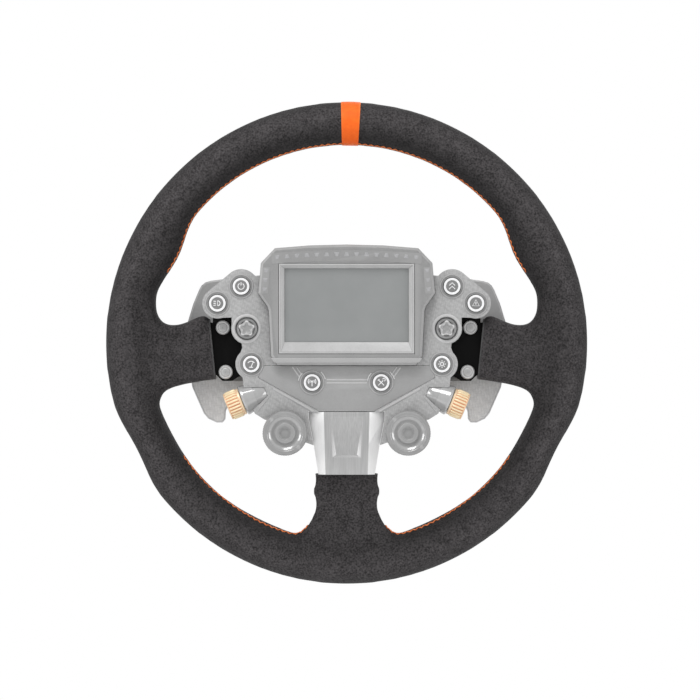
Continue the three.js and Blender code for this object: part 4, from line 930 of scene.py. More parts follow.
grey_plastic = moulded("grey_plastic", 0.335, 0.5, depth=0.22, size=1900.0)
# Painted highlight: bevels, star tips, guard arcs and groove lines take this pale grey in place of the light they
# catch.
painted_edge_highlight = moulded("painted_edge_highlight", 0.66, 0.3, depth=0.06, edge=1.2)
floor_y = housing_back - WALL
spoke_cuts = [slab(widened(points, SLIT + 0.2), housing_front - PAST, housing_back + PAST) for points in
              (SIDE_SPOKE, mirror_x(SIDE_SPOKE))]
pocket_slabs = hub_slabs(housing_front - PAST, floor_y, WALL)
pocket = carved(pocket_slabs[0], added=pocket_slabs[1:],
                cut=both_sides(*LOBES["stick"][:2], GIMBAL_BORE + 1.6, housing_front - 2 * PAST, floor_y + PAST)
                + both_sides(*LOBES["dial"][:2], 12.5, housing_front - 3 * PAST, floor_y + PAST))
shell_slabs = hub_slabs(housing_front, housing_back, 0)
shell = carved(shell_slabs[0], added=shell_slabs[1:], cut=[
    pocket, slab(widened(NECK, SLIT), housing_front - PAST, housing_back + PAST),
    slab(round_outline(0, 0, 9), housing_front, housing_back + PAST),
    *both_sides(*LOBES["stick"][:2], GIMBAL_BORE, housing_front - PAST, floor_y),
    *spoke_cuts, pod_cut("left"), pod_cut("right")])
# Its bevels take the pale grey of the painted edge highlight.
fitted(eased(named(shell, "hub_shell"), 0.45, [grey_plastic, painted_edge_highlight], 1), "hub", "grey_plastic",
       "front_housing")

# ---------------------------------------------------------------- Button boards
# A green circuit board lies under each group of buttons, hidden by the facings.
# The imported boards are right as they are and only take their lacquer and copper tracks.
board_green, tree, shader = shader_for("board_green", 0.35, 0.0, coat_weight=0.4)
where = step(tree, "ShaderNodeTexCoord")
tracks = step(tree, "ShaderNodeTexBrick", {
    "Vector": where.outputs["Object"], "Scale": 160.0, "Mortar Size": 0.06, "Color1": (0.02, 0.12, 0.04, 1),
    "Color2": (0.025, 0.15, 0.05, 1), "Mortar": (0.3, 0.2, 0.06, 1)})
tree.links.new(tracks.outputs[0], shader.inputs["Base Color"])


def refinished(node, material):
    """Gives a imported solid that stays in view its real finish."""
    materials = nodes[node].data.materials
    materials.clear()
    materials.append(material)


for node in ("button_board_left", "button_board_right", "main_board"):
    refinished(node, board_green)

# ---------------------------------------------------------------- Facings
# A carbon plate faces each wing, flush round the controls, with a bevel along every edge painted pale as a highlight.
# It is laid up in a fine twill, seen dimly through uneven satin lacquer.
facing_low, facing_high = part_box("faceplate_left")
facing_front, facing_back = facing_low.y / mm, facing_high.y / mm

# Twill gives the colour and relief of a two-by-two carbon weave, in the X and Z plane.
twill, entry, leave = shader_group(
    "twill", [("Dark", COLOUR, (0.2, 0.2, 0.2, 1)), ("Light", COLOUR, (0.4, 0.4, 0.4, 1)),
              ("Tow", FLOAT, 0.0013), ("Depth", FLOAT, 0.3)], [("Color", COLOUR), ("Normal", VECTOR)])
where = step(twill, "ShaderNodeTexCoord")
diagonal = step(twill, "ShaderNodeMapping", {"Vector": where.outputs["Object"],
                                             "Rotation": (0, math.radians(9), 0)})
parts = step(twill, "ShaderNodeSeparateXYZ", {"Vector": diagonal.outputs[0]})


def maths(tree, operation, a, b=None):
    sockets = {0: a} if b is None else {0: a, 1: b}
    return step(tree, "ShaderNodeMath", sockets, operation=operation).outputs[0]


across = maths(twill, "DIVIDE", parts.outputs["X"], entry.outputs["Tow"])
along = maths(twill, "DIVIDE", parts.outputs["Z"], entry.outputs["Tow"])
steps = maths(twill, "ADD", maths(twill, "FLOOR", across), maths(twill, "FLOOR", along))
over = maths(twill, "LESS_THAN", maths(twill, "FLOORED_MODULO", steps, 4.0), 2.0)
hump_x = maths(twill, "SINE", maths(twill, "MULTIPLY", maths(twill, "FRACT", across), math.pi))
hump_z = maths(twill, "SINE", maths(twill, "MULTIPLY", maths(twill, "FRACT", along), math.pi))
hump = step(twill, "ShaderNodeMix", {"Factor": over, "A": hump_z, "B": hump_x})
lustre = maths(twill, "MULTIPLY", maths(twill, "ADD", maths(twill, "MULTIPLY", over, 0.55), 0.45),
                hump.outputs[0])
resin = step(twill, "ShaderNodeTexNoise", {"Vector": where.outputs["Object"], "Scale": 620.0, "Detail": 2.0})
mottle = step(twill, "ShaderNodeMapRange", {"Value": resin.outputs["Fac"], "From Min": 0.35, "From Max": 0.65})
uneven = step(twill, "ShaderNodeMix", {"Factor": 0.5, "A": lustre, "B": mottle.outputs[0]})
blend = step(twill, "ShaderNodeMix", {0: uneven.outputs[0], 6: entry.outputs["Dark"], 7: entry.outputs["Light"]},
             data_type="RGBA")
relief = step(twill, "ShaderNodeBump", {"Strength": entry.outputs["Depth"], "Height": hump.outputs[0],
                                        "Distance": 0.0002})
twill.links.new(blend.outputs[2], leave.inputs["Color"])
twill.links.new(relief.outputs[0], leave.inputs["Normal"])


def woven(name, dark, light, tow, depth=0.3, roughness=0.4, amount=0.0):
    material, tree, shader = shader_for(name, roughness, 0.0, coat_weight=0.35, coat_roughness=0.25)
    cloth = placed_group(tree, twill, {"Dark": (dark, dark, dark, 1), "Light": (light, light, light, 1),
                                       "Tow": tow, "Depth": depth})
    lightened_edges = placed_group(tree, edge_wear_and_highlight, {"Color": cloth.outputs["Color"], "Edge": (0.7, 0.7, 0.7, 1),
                                       "Amount": amount})
    tree.links.new(lightened_edges.outputs[0], shader.inputs["Base Color"])
    tree.links.new(cloth.outputs["Normal"], shader.inputs["Normal"])
    return material


def largest_island(work):
    """The corners of the biggest joined-up part of a mesh."""
    islands, left = [], set(work.verts)
    while left:
        to_visit = [left.pop()]
        island = set(to_visit)
        while to_visit:
            vertex = to_visit.pop()
            fresh = {edge.other_vert(vertex) for edge in vertex.link_edges} & left
            left -= fresh
            island |= fresh
            to_visit += fresh
        islands.append(island)
    return max(islands, key=len)


carbon = woven("satin_carbon", 0.34, 0.5, 0.0011)
for side, sign in SIDES:
    slabs = hub_slabs(facing_front, facing_back, 0)
    half = [(sign * SLIT, -100), (sign * 110, -100), (sign * 110, 100), (sign * SLIT, 100)]
    near, far = facing_front - PAST, facing_back + PAST
    plate = carved(slabs[0], added=slabs[1:], cut=[
        slab(widened(DISPLAY, SLIT), near, far), slab(widened(FASCIA, SLIT), near, far),
        slab(widened(NECK, SLIT), near, far), pod_cut(side),
        *both_sides(*LOBES["dial"][:2], DIAL_SEAT, near, far),
        *both_sides(*LOBES["stick"][:2], STICK_WELL, near, far),
        *[s for key in ("top", "outer", "low") for s in both_sides(*LOBES[key][:2], BUTTON_BORE, near, far)]],
        kept=[slab(half, near, far)])
    work = bmesh.new()
    work.from_mesh(plate.data)
    kept = largest_island(work)
    bmesh.ops.delete(work, geom=[v for v in work.verts if v not in kept], context="VERTS")
    work.to_mesh(plate.data)
    work.free()
    fitted(eased(named(plate, f"carbon_facing_{side}"), 0.4, [carbon, painted_edge_highlight], 1), "hub", "carbon",
           f"faceplate_{side}")

# ---------------------------------------------------------------- Lower fascia
# A plain panel under the display carries the two centre buttons. A double groove joins them, and
# short angled grooves frame them on the outside.
CENTRE_BUTTON = (23.55, -26.95)
GROOVE_WIDTH, GROOVE_DEPTH = 0.6, 0.5
TICKS = [[(32.4, -22.9), (36.8, -16.7)], [(30.4, -21.9), (34.2, -16.5)]]
FRAME_LINES = [[(-13.5, z), (13.5, z)] for z in (-25.0, -27.2)]
FRAME_LINES += [[(sign * x, z) for x, z in tick] for _, sign in SIDES for tick in TICKS]
near, far = facing_front - PAST, facing_back + PAST


def groove(a, b):
    """A straight cut between two points on the facing's front."""
    way = Vector((b[0] - a[0], b[1] - a[1])).normalized() * GROOVE_WIDTH / 2
    side_way = Vector((-way.y, way.x))
    corners = [Vector(a) + side_way, Vector(a) - side_way, Vector(b) - side_way, Vector(b) + side_way]
    return slab([tuple(c) for c in corners], near, facing_front + GROOVE_DEPTH)


grooves = [groove(a, b) for a, b in FRAME_LINES]
panel = carved(slab(FASCIA, facing_front, facing_back),
               cut=[slab(widened(DISPLAY, SLIT), near, far), *both_sides(*CENTRE_BUTTON, BUTTON_BORE, near, far),
                    *both_sides(*LOBES["low"][:2], BUTTON_BORE, near, far), *grooves])
# Its bevels take the pale grey of the painted edge highlight.
fitted(eased(named(panel, "fascia_panel"), 0.5, [grey_plastic, painted_edge_highlight], 1), "hub", "grey_plastic",
       "lower_fascia")

# ---------------------------------------------------------------- Display
# A moulded housing round a dash screen: a sloped bezel, a pale strip under it, cover glass, a strip
# of rev lights across the top and three warning lights down each side behind frosted windows.
gloss_grey = moulded("gloss_bezel", 0.285, 0.3, depth=0.1, size=2600.0, coat_weight=0.3)
bezel_grey = moulded("bezel_slope", 0.5, 0.3, 0.05, depth=0.06, size=2600.0)
# Painted highlight: the display body's sloping faces and bevels, and the frame's bevels, take this lighter grey in
# place of the light they catch; the pale strip under the display takes it as well.
slope_grey = moulded("display_slope", 0.4, 0.35, depth=0.08, size=2600.0)
body = softened("display_body", "display_housing", [gloss_grey, slope_grey], 0.4, 2, 28, 1)
SLOPING = (0.25, 0.96)          # share of a sloping face's normal that looks forward
# The sloping faces are picked by the way they point, for the painted highlight.
for face in body.data.polygons:
    if SLOPING[0] < -face.normal.y < SLOPING[1]:
        face.material_index = 1
fitted(body, "hub", "gloss_bezel", "display_housing")
body_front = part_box("display_housing")[0].y / mm
CHIN = [(-51.4, -10.4), (51.4, -10.4), (49.0, -13.3), (-49.0, -13.3)]
chin = named(slab(CHIN, body_front - 0.22, body_front + 0.1), "display_chin")
fitted(eased(chin, 0.12, [slope_grey, painted_edge_highlight], 1), "hub", "gloss_bezel")
fitted(softened("display_frame", "display_bezel", [bezel_grey, slope_grey], 0.3, 2, 20, 1), "hub",
       "gloss_bezel", "display_bezel")

cover_glass, tree, shader, tone = mottled("cover_glass", 0.12, (0.262, 0.272, 0.272), (0.285, 0.295, 0.295),
                                          22.0, 60.0, coat_weight=0.5, coat_roughness=0.05)
smear = step(tree, "ShaderNodeMapRange", {"Value": tone.outputs["Value"], "To Min": 0.1, "To Max": 0.2})
tree.links.new(smear.outputs[0], shader.inputs["Roughness"])
fitted(softened("display_cover_glass", "display_glass", [cover_glass], 0.25), "hub", "screen_glass", "display_glass")
refinished("display_panel", moulded("display_panel_grey", 0.27, 0.3, depth=0.05))

frosted = moulded("frosted_window", 0.29, 0.38, depth=0.12, size=3200.0, coat_weight=0.3)
lens_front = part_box("rev_light_lens")[0].y / mm
LENS_LIP, LIP_HEIGHT = 0.55, 0.14
LENS_ARCH = [(50.5 * share, 2.2 * share * share) for share in (i / 12 - 1 for i in range(25))]
STRIP = [(x, 56.4 - dip) for x, dip in LENS_ARCH] + [(x, 62.6 - dip) for x, dip in reversed(LENS_ARCH)]
SIDE_STRIP = [(-56.6, 51), (-52.8, 51), (-53.9, 34), (-57.7, 34)]


def window(name, node, outline):
    """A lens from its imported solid, with a thin lip that covers the slit round it."""
    lip = slab(widened(outline, LENS_LIP), lens_front - LIP_HEIGHT, lens_front - 0.02)
    fitted(eased(named(lip, name + "_lip"), 0.06, [frosted]), "hub", "lens")
    fitted(softened(name, node, [frosted], 0.2), "hub", "lens", node)


window("rev_light_strip", "rev_light_lens", STRIP)
for side, sign in SIDES:
    outline = SIDE_STRIP if sign < 0 else mirror_x(SIDE_STRIP)
    window(f"side_light_strip_{side}", f"side_light_lens_{side}", outline)

lamp_clear = mottled("lamp_window", 0.3, (0.34, 0.34, 0.35), (0.44, 0.44, 0.45), 700.0, coat_weight=0.5)[0]


def lamp_window(work, wide, narrow, height, depth):
    """A raised window that narrows along X, with sloped sides."""
    low_x, high_x = -height / 2, height / 2
    rim = [(low_x, wide), (low_x, -wide), (high_x, -narrow), (high_x, narrow)]
    for scale, level in ((1.0, -depth), (1.0, depth * 0.3), (0.82, depth)):
        for x, y in rim:
            work.verts.new((x * scale, y * scale, level))
    work.verts.ensure_lookup_table()
    v = work.verts
    work.faces.new((v[3], v[2], v[1], v[0]))
    for base in (0, 4):
        for i in range(4):
            j = (i + 1) % 4
            work.faces.new((v[base + i], v[base + j], v[base + 4 + j], v[base + 4 + i]))
    work.faces.new((v[8], v[9], v[10], v[11]))


LAMPS, LAMP_PITCH = 15, 6.75
lamp = pattern_piece(lamp_window, wide=1.7 * mm, narrow=0.85 * mm, height=2.6 * mm, depth=0.25 * mm)


def lamp_line(points):
    """A line of evenly spaced spots on the lamps' windows, from X and Z in millimetres."""
    y = (lens_front - 0.1) * mm
    return line_mesh([Vector((x * mm, y, z * mm)) for x, z in points], [Vector((0, -1, 0))] * len(points))


end = LAMP_PITCH * (LAMPS - 1) / 2
arch = [(-end + 2 * end * i / 28, 60.35 - 2.1 * (2 * i / 28 - 1) ** 2) for i in range(29)]
length = sum(math.dist(a, b) for a, b in zip(arch, arch[1:]))
fitted(grown_by("rev_lights", lamp_line(arch), along_line,
                {"Piece": lamp, "Pitch": (length / (LAMPS - 1) - 0.001) * mm, "Slant": math.pi / 2,
                 "Finish": lamp_clear}, 20), "hub", "lens")
for side, sign in SIDES:
    fitted(grown_by(f"warning_lights_{side}", lamp_line([(sign * 54.8, 49.2), (sign * 55.8, 36.4)]), along_line,
                    {"Piece": lamp, "Pitch": 6.4 * mm, "Slant": 0.0, "Finish": lamp_clear}, 20), "hub", "lens")
bpy.data.objects.remove(lamp)

# ---------------------------------------------------------------- Push buttons
# Eight round caps, each a grey disc inside a white light ring, with a raised generic symbol.
# A stepped collar of smooth plastic sits round each one on the facing. Fine lines, pale as a painted
# highlight, are laid in the fascia's grooves, and curve in towards the two centre buttons.
BUTTON_RADIUS, RING_INNER = 5.75, 4.15
cap_grey = moulded("cap_grey", 0.22, 0.45, depth=0.1, size=2600.0)
ring_white = mottled("light_ring", 0.35, (0.86, 0.86, 0.87), (0.97, 0.97, 0.98), 500.0, coat_weight=0.2)[0]
symbol_white = mottled("symbol_white", 0.45, (0.78, 0.78, 0.79), (0.92, 0.92, 0.93), 800.0)[0]
collar_edge = moulded("collar_edge", 0.43, 0.4, depth=0.1, size=2600.0)
collar_grey = moulded("collar_grey", 0.3, 0.4, depth=0.1, size=2600.0, edge=1.8, amount=0.8)


def arc(radius, first, last, x=0, y=0, steps=16):
    turns = [math.radians(first + (last - first) * i / steps) for i in range(steps + 1)]
    return [(x + radius * math.cos(t), y + radius * math.sin(t)) for t in turns]


SYMBOLS = {
    "button_top_left": [arc(2.1, 62, -242), [(0, 0.6), (0, 2.7)]],
    "button_top_right": [[(-2, -1.9), (0, 0), (2, -1.9)], [(-2, 0.5), (0, 2.4), (2, 0.5)]],
    "button_outer_left": [arc(1.7, -90, 90, x=0.2) + [(0.2, -1.7)], [(-0.9, 1.2), (-2.6, 1.5)],
                          [(-0.9, 0), (-2.6, 0)], [(-0.9, -1.2), (-2.6, -1.5)]],
    "button_outer_right": [[(-2.3, -1.7), (2.3, -1.7), (0, 2.4), (-2.3, -1.7)], [(0, -0.9), (0, 0.8)]],
    "button_low_left": [arc(2.7, 35, 145, y=-0.8), [(-0.2, -2.2), (1.3, 1.2)], [(-1.5, -2.2), (1.2, -2.2)]],
    "button_low_right": [arc(1.1, 0, 360)] + [[(1.7 * math.cos(t), 1.7 * math.sin(t)),
                                               (2.6 * math.cos(t), 2.6 * math.sin(t))]
                                              for t in (math.radians(45 * k) for k in range(8))],
    "button_centre_left": [[(0, -2.6), (0, 0.4)], arc(0.45, 0, 360, y=0.7), arc(1.5, -35, 45, y=0.7),
                           arc(1.5, 135, 215, y=0.7), arc(2.6, -35, 40, y=0.7), arc(2.6, 140, 215, y=0.7)],
    "button_centre_right": [[(-2, -2), (1.4, 1.4)], arc(0.9, -80, 170, x=1.9, y=1.9), [(2, -2), (-1.6, 1.6)],
                            [(-2.3, 1.2), (-1.2, 2.3)]],
}


def relief_lines(name, lines, place, height, thickness, finish=symbol_white):
    """A raised drawing made of round beads on a flat face."""
    curve = bpy.data.curves.new(name, "CURVE")
    curve.dimensions, curve.bevel_depth, curve.bevel_resolution = "3D", thickness * mm, 2
    curve.use_fill_caps = True
    for line in lines:
        ends_meet = math.dist(line[0], line[-1]) < 1e-6
        kept = line[:-1] if ends_meet else line
        spline = curve.splines.new("POLY")
        spline.points.add(len(kept) - 1)
        for point, (x, y) in zip(spline.points, kept):
            point.co = (*(place @ Vector((x * mm, y * mm, height * mm))), 1)
        spline.use_cyclic_u = ends_meet
    drawn = bpy.data.objects.new(name, curve)
    scene.collection.objects.link(drawn)
    mesh = bpy.data.meshes.new_from_object(drawn)
    bpy.data.objects.remove(drawn)
    mesh.materials.clear()
    mesh.materials.append(finish)
    mesh.shade_smooth()
    piece = bpy.data.objects.new(name, mesh)
    scene.collection.objects.link(piece)
    return piece


for node, lines in SYMBOLS.items():
    low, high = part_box(node)
    centre = (low + high) / 2
    tail = (high.y - low.y) / mm
    place = facing(centre.x, low.y, centre.z)
    fitted(spun(node + "_cap", [
        (0, -tail), (BUTTON_RADIUS, -tail), (BUTTON_RADIUS, -1.3, 1), (BUTTON_RADIUS, -0.35, 1), (5.68, -0.12, 1),
        (5.5, -0.02, 1), (4.5, -0.02, 1), (4.3, -0.1, 1), (RING_INNER, -0.3), (3.95, -0.42), (3.7, -0.36),
        (0, -0.32)], place, [cap_grey, ring_white]), node, "button", node)
    fitted(relief_lines(node + "_symbol", lines, place, -0.3, 0.34), node, "button")
    seat = facing(centre.x, facing_front * mm, centre.z)
    fitted(spun(node + "_collar", [(6.35, -0.25), (6.35, 0.12), (6.6, 0.25), (7.35, 0.28), (7.55, 0.5, 1),
                                   (7.8, 0.6, 1), (8.15, 0.55, 1), (8.4, 0.3), (8.6, 0.05), (8.6, -0.25)], seat,
                [collar_grey, collar_edge], closed=True), "hub", "grey_plastic")
    if "centre" in node:
        guards = [arc(9.3, 136, 172), arc(9.3, 14, 50)]
        # The guard arcs take the pale grey of the painted edge highlight.
        fitted(relief_lines(node + "_guard", guards, seat, 0.1, 0.42, painted_edge_highlight), "hub", "grey_plastic")

whole_facing = facing(0, facing_front * mm, 0)
fitted(relief_lines("fascia_lines", FRAME_LINES, whole_facing, 0.0, 0.24, painted_edge_highlight), "hub", "grey_plastic")

# ---------------------------------------------------------------- Stick switches
# A star-shaped knob with painted glints on its tips stands on a steel shaft in a round well on each side. The shaft
# tilts in a cradle and a gimbal ring, which are turned from steel.
stick_grey = moulded("stick_grey", 0.34, 0.3, 0.1, depth=0.08, size=2600.0, edge=2.4, amount=1.0, coat_weight=0.4)
well_grey = moulded("well_grey", 0.52, 0.5, depth=0.15, size=2200.0, edge=1.6)
turned_steel = moulded("turned_steel", 0.5, 0.35, 0.5, depth=0.08, size=2600.0, edge=1.5)
STAR_POINTS, STAR_DEPTH, GLINT_SHARE = 5, 0.22, 0.5


def star(radius):
    def at(turn):
        dip = 0.5 - 0.5 * math.cos(STAR_POINTS * (turn - math.pi / 2))
        return radius * (1 - STAR_DEPTH * dip ** 0.8)
    return at


for side, sign in SIDES:
    node = f"stick_knob_{side}"
    low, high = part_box(node)
    x, z, _ = LOBES["stick"]
    at = facing(sign * x * mm, low.y, z * mm)
    tall = (high.y - low.y) / mm
    knob = spun(f"stick_star_{side}", [
        (0, -1.0), (1.7, -1.0), (2.1, -0.75), (2.6, -0.75), (star(3.3), -0.3), (star(4.6), -0.02, 1), (star(5.1), -0.1, 1),
        (star(5.6), -0.6), (star(5.7), -1.2), (star(5.7), 0.6 - tall), (star(5.2), -tall), (2.5, -tall),
        (2.5, -1.4), (0, -1.4)], at, [stick_grey, painted_edge_highlight], smooth_angle=26)
    # Painted glints: only the faces near each tip keep the pale edge grey; the rest go back to the knob's grey.
    for face in knob.data.polygons:
        turn = math.atan2(face.center.z - z * mm, face.center.x - sign * x * mm)
        if math.cos(STAR_POINTS * (turn - math.pi / 2)) < GLINT_SHARE:
            face.material_index = 0
    fitted(knob, node, "stick", node)
    seat = facing(sign * x * mm, facing_front * mm, z * mm)
    fitted(spun(f"stick_well_{side}", [(7.75, -2.1), (7.9, -0.1), (8.15, 0.35), (8.7, 0.55), (9.4, 0.5),
                                       (9.9, 0.0), (9.9, -0.3), (7.98, -0.3), (7.98, -2.1)], seat, [well_grey],
                closed=True), "hub", "grey_plastic")
    for part, inner, outer in (("gimbal", 5.2, 7.2), ("cradle", 2.45, 4.9)):
        node = f"stick_{part}_{side}"
        low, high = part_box(node)
        thick = (high.y - low.y) / mm
        at = facing(sign * x * mm, low.y, z * mm)
        fitted(spun(f"{part}_ring_{side}", [
            (inner, -0.3), (inner + 0.3, 0), (outer - 0.3, 0), (outer, -0.3), (outer, 0.3 - thick),
            (outer - 0.3, -thick), (inner + 0.3, -thick), (inner, 0.3 - thick)], at, [turned_steel],
            closed=True), node, "steel", node)
    node = f"stick_shaft_{side}"
    low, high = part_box(node)
    long = (high.y - low.y) / mm
    at = facing(sign * x * mm, low.y, z * mm)
    fitted(spun(f"stick_rod_{side}", [(0, 0), (1.8, 0), (2.1, -0.3), (2.1, 0.3 - long), (1.8, -long), (0, -long)],
                at, [turned_steel], sides=48), node, "steel", node)

# ---------------------------------------------------------------- Thumb knobs
# A knob of gold anodised aluminium with straight ribs turns on each side, on a glossy tapered
# housing clamped into the hub's lower corner. A raised pale line frames its pocket, a painted highlight
# along the pocket's edge, and a ridge runs in from there along the fascia's edge.

# One tree sets copies of a small piece round an axis, with their local X pointing outward.
round_axis, entry, leave = geometry_tree("pieces_round_an_axis", [
    ("Piece", OBJECT), ("Count", INTEGER), ("Radius", FLOAT), ("Finish", MATERIAL)])
circle = step(round_axis, "GeometryNodeMeshCircle", {"Vertices": entry.outputs["Count"],
                                                     "Radius": entry.outputs["Radius"]})
aim = step(round_axis, "FunctionNodeAxesToRotation",
           {"Primary Axis": (0, 0, 1), "Secondary Axis": step(round_axis, "GeometryNodeInputPosition").outputs[0]},
           primary_axis="Z", secondary_axis="X")
copy = step(round_axis, "GeometryNodeObjectInfo", {"Object": entry.outputs["Piece"]}, transform_space="ORIGINAL")
set_down = step(round_axis, "GeometryNodeInstanceOnPoints", {
    "Points": circle.outputs[0], "Instance": copy.outputs["Geometry"], "Rotation": aim.outputs[0]})
real = step(round_axis, "GeometryNodeRealizeInstances", {"Geometry": set_down.outputs[0]})
finish = step(round_axis, "GeometryNodeSetMaterial", {"Geometry": real.outputs[0],
                                                      "Material": entry.outputs["Finish"]})
round_axis.links.new(finish.outputs[0], leave.inputs[0])


def ring_of(name, piece, count, radius, finish, place, smooth_angle=40):
    made = grown_by(name, bpy.data.meshes.new(name), round_axis,
                    {"Piece": piece, "Count": count, "Radius": radius * mm, "Finish": finish}, smooth_angle)
    made.data.transform(place)
    bpy.data.objects.remove(piece)
    return made


def straight_rib(work, width, height, length, low_end):
    """A rib along Z with a rounded back that stands out along X, rooted a little below the surface."""
    back = [(-0.25, -width / 2), (height * 0.55, -width / 2), (height * 0.9, -width * 0.28), (height, 0),
            (height * 0.9, width * 0.28), (height * 0.55, width / 2), (-0.25, width / 2)]
    slope = min(height, length / 4)
    rings = [[work.verts.new((x * mm * share, y * mm, z * mm)) for x, y in back]
             for z, share in ((low_end, 0.3), (low_end + slope, 1), (low_end + length - slope, 1),
                              (low_end + length, 0.3))]
    for a, b in zip(rings, rings[1:]):
        for i in range(len(a)):
            j = (i + 1) % len(a)
            work.faces.new((a[i], a[j], b[j], b[i]))
    work.faces.new(rings[0][::-1])
    work.faces.new(rings[-1])
    bmesh.ops.recalc_face_normals(work, faces=work.faces[:])


POCKET_LINE = [(69.6, -28.2), (55.5, -28.1), (52.0, -35.7), (60.6, -46.6)]
ARM_RIDGE = [(50.2, -31.2), (22.6, -46.8)]
gold = moulded("gold_anodised", (1.0, 0.64, 0.43), 0.32, 0.25, depth=0.08, size=2800.0, edge=1.4, amount=0.9)
# Painted shade: the barrel between the ribs takes this darker gold, where shade falls in the grooves.
gold_shade = moulded("gold_groove_shade", (0.75, 0.36, 0.22), 0.45, 0.2, depth=0.1, size=2800.0)
pod_gloss = moulded("pod_gloss", 0.47, 0.12, 0.25, depth=0.03, size=2600.0, edge=2.0, amount=0.5, coat_weight=0.6)
BORE_END = POD_FACE + 7
for side, sign in SIDES:
    node = f"thumb_knob_{side}"
    place = thumb_place(side)
    half = THUMB_LENGTH / 2
    # The pocket line's pale grey is a painted highlight along the pocket's edge.
    for name, line, level, thickness in (("thumb_pocket", POCKET_LINE, 0.08, 0.3),
                                         ("arm_ridge", ARM_RIDGE, -0.55, 1.1)):
        drawing = [[(sign * x, z) for x, z in line]]
        fitted(relief_lines(f"{name}_{side}", drawing, whole_facing, level, thickness, collar_edge), "hub",
               "grey_plastic")
    fitted(spun(f"thumb_barrel_{side}", [
        (0, BORE_END + 0.35), (3.35, BORE_END + 0.35), (3.35, -half), (8.9, -half), (9.3, -half + 0.4),
        (9.3, -half + 1.5), (8.9, -half + 1.8, 1), (8.8, half - 0.9), (9.25, half - 0.6), (9.25, half - 0.3),
        (8.9, half), (6.6, half), (6.2, half - 0.5), (0, half - 0.5)], place, [gold, gold_shade]), node, "gold", node)
    fitted(ring_of(f"thumb_ribs_{side}", pattern_piece(straight_rib, width=1.25, height=1.0, length=8.2, low_end=-3.7),
                   26, 8.85, gold, place), node, "gold")
    node = f"thumb_knob_housing_{side}"
    fitted(spun(f"thumb_pod_{side}", [
        (0, POD_FACE - 17), (6.1, POD_FACE - 17), (6.45, POD_FACE - 16.6), (8.2, POD_FACE - 9.4), (8.55, POD_FACE - 9.2),
        (10.3, POD_FACE - 2.1), (10.4, POD_FACE - 1.7), (10.4, POD_FACE - 0.8), (9.9, POD_FACE - 0.1), (9.4, POD_FACE),
        (5.0, POD_FACE), (3, POD_FACE + 0.05), (3, POD_FACE + 6.6), (2.6, POD_FACE + 7), (0, POD_FACE + 7)], place,
        [pod_gloss]), "hub", "gloss_pod", node)

# ---------------------------------------------------------------- Front dials
# Two large rotary dials with finely ribbed rims. Each has a polished dish in its face and a round
# cap with a hexagon socket, and turns on a fixed base. The dish and thin chamfer rings are a paler
# polished grey, partly real polish and partly painted highlight.
dial_grey = moulded("dial_grey", 0.3, 0.42, 0.05, depth=0.06, size=2800.0, edge=1.7)
# Partly painted highlight: the dish and chamfer rings take this paler tone for their bright rings and glints.
dish_polish_and_highlight = moulded("dish_polish_and_highlight", 0.46, 0.16, 0.35, depth=0.03, size=2600.0, edge=1.6, coat_weight=0.4)
HEX_ACROSS = 3.0


def hexagon(turn):
    return HEX_ACROSS / math.cos(turn % (math.pi / 3) - math.pi / 6)


for side, sign in SIDES:
    node = f"dial_{side}"
    low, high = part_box(node)
    tall = (high.y - low.y) / mm
    x, z, _ = LOBES["dial"]
    place = facing(sign * x * mm, high.y, z * mm)
    fitted(spun(f"dial_knob_{side}", [
        (0, 8.0), (3.35, 8.0), (3.35, 0), (14.7, 0), (15.1, 0.4), (15.1, 1.4), (14.95, 1.6), (14.95, 10.6),
        (15.05, 10.8), (15.05, 11.5), (14.7, 12.2, 1), (14.3, 12.6), (12.6, tall), (12.3, tall, 1), (12.0, 12.85),
        (11.6, 12.3, 1), (9.4, 11.0), (7.6, 10.9), (7.1, 11.2), (6.9, 12.1, 1), (6.4, 12.55), (4.9, 12.6),
        (4.5, 12.4, 1), (4.1, 11.9), (hexagon, 11.9), (hexagon, 11.4), (0, 11.3)], place, [dial_grey, dish_polish_and_highlight],
        smooth_angle=28), node, "dial_grey", node)
    fitted(ring_of(f"dial_ribs_{side}", pattern_piece(straight_rib, width=0.62, height=0.42, length=9.0, low_end=1.6),
                   84, 14.95, dial_grey, place), node, "dial_grey")
    node = f"dial_base_{side}"
    low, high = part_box(node)
    place = facing(sign * x * mm, high.y, z * mm)
    fitted(spun(f"dial_seat_{side}", [(0, 0), (12.5, 0), (12.5, 2.6), (12.2, 3.0), (11.6, 3.1), (11.4, 3.9), (11.2, 4.0),
                                      (3, 4.0), (3, 11.7), (2.7, 12.0), (0, 12.0)], place, [dial_grey]),
           "hub", "dial_grey", node)
    seat = facing(sign * x * mm, facing_front * mm, z * mm)
    fitted(spun(f"dial_collar_{side}", [(13.05, -0.4), (13.05, 0.3), (13.4, 0.5), (13.9, 0.3), (14.1, 0.0),
                                        (14.1, -0.4)], seat, [collar_grey], closed=True), "hub", "grey_plastic")

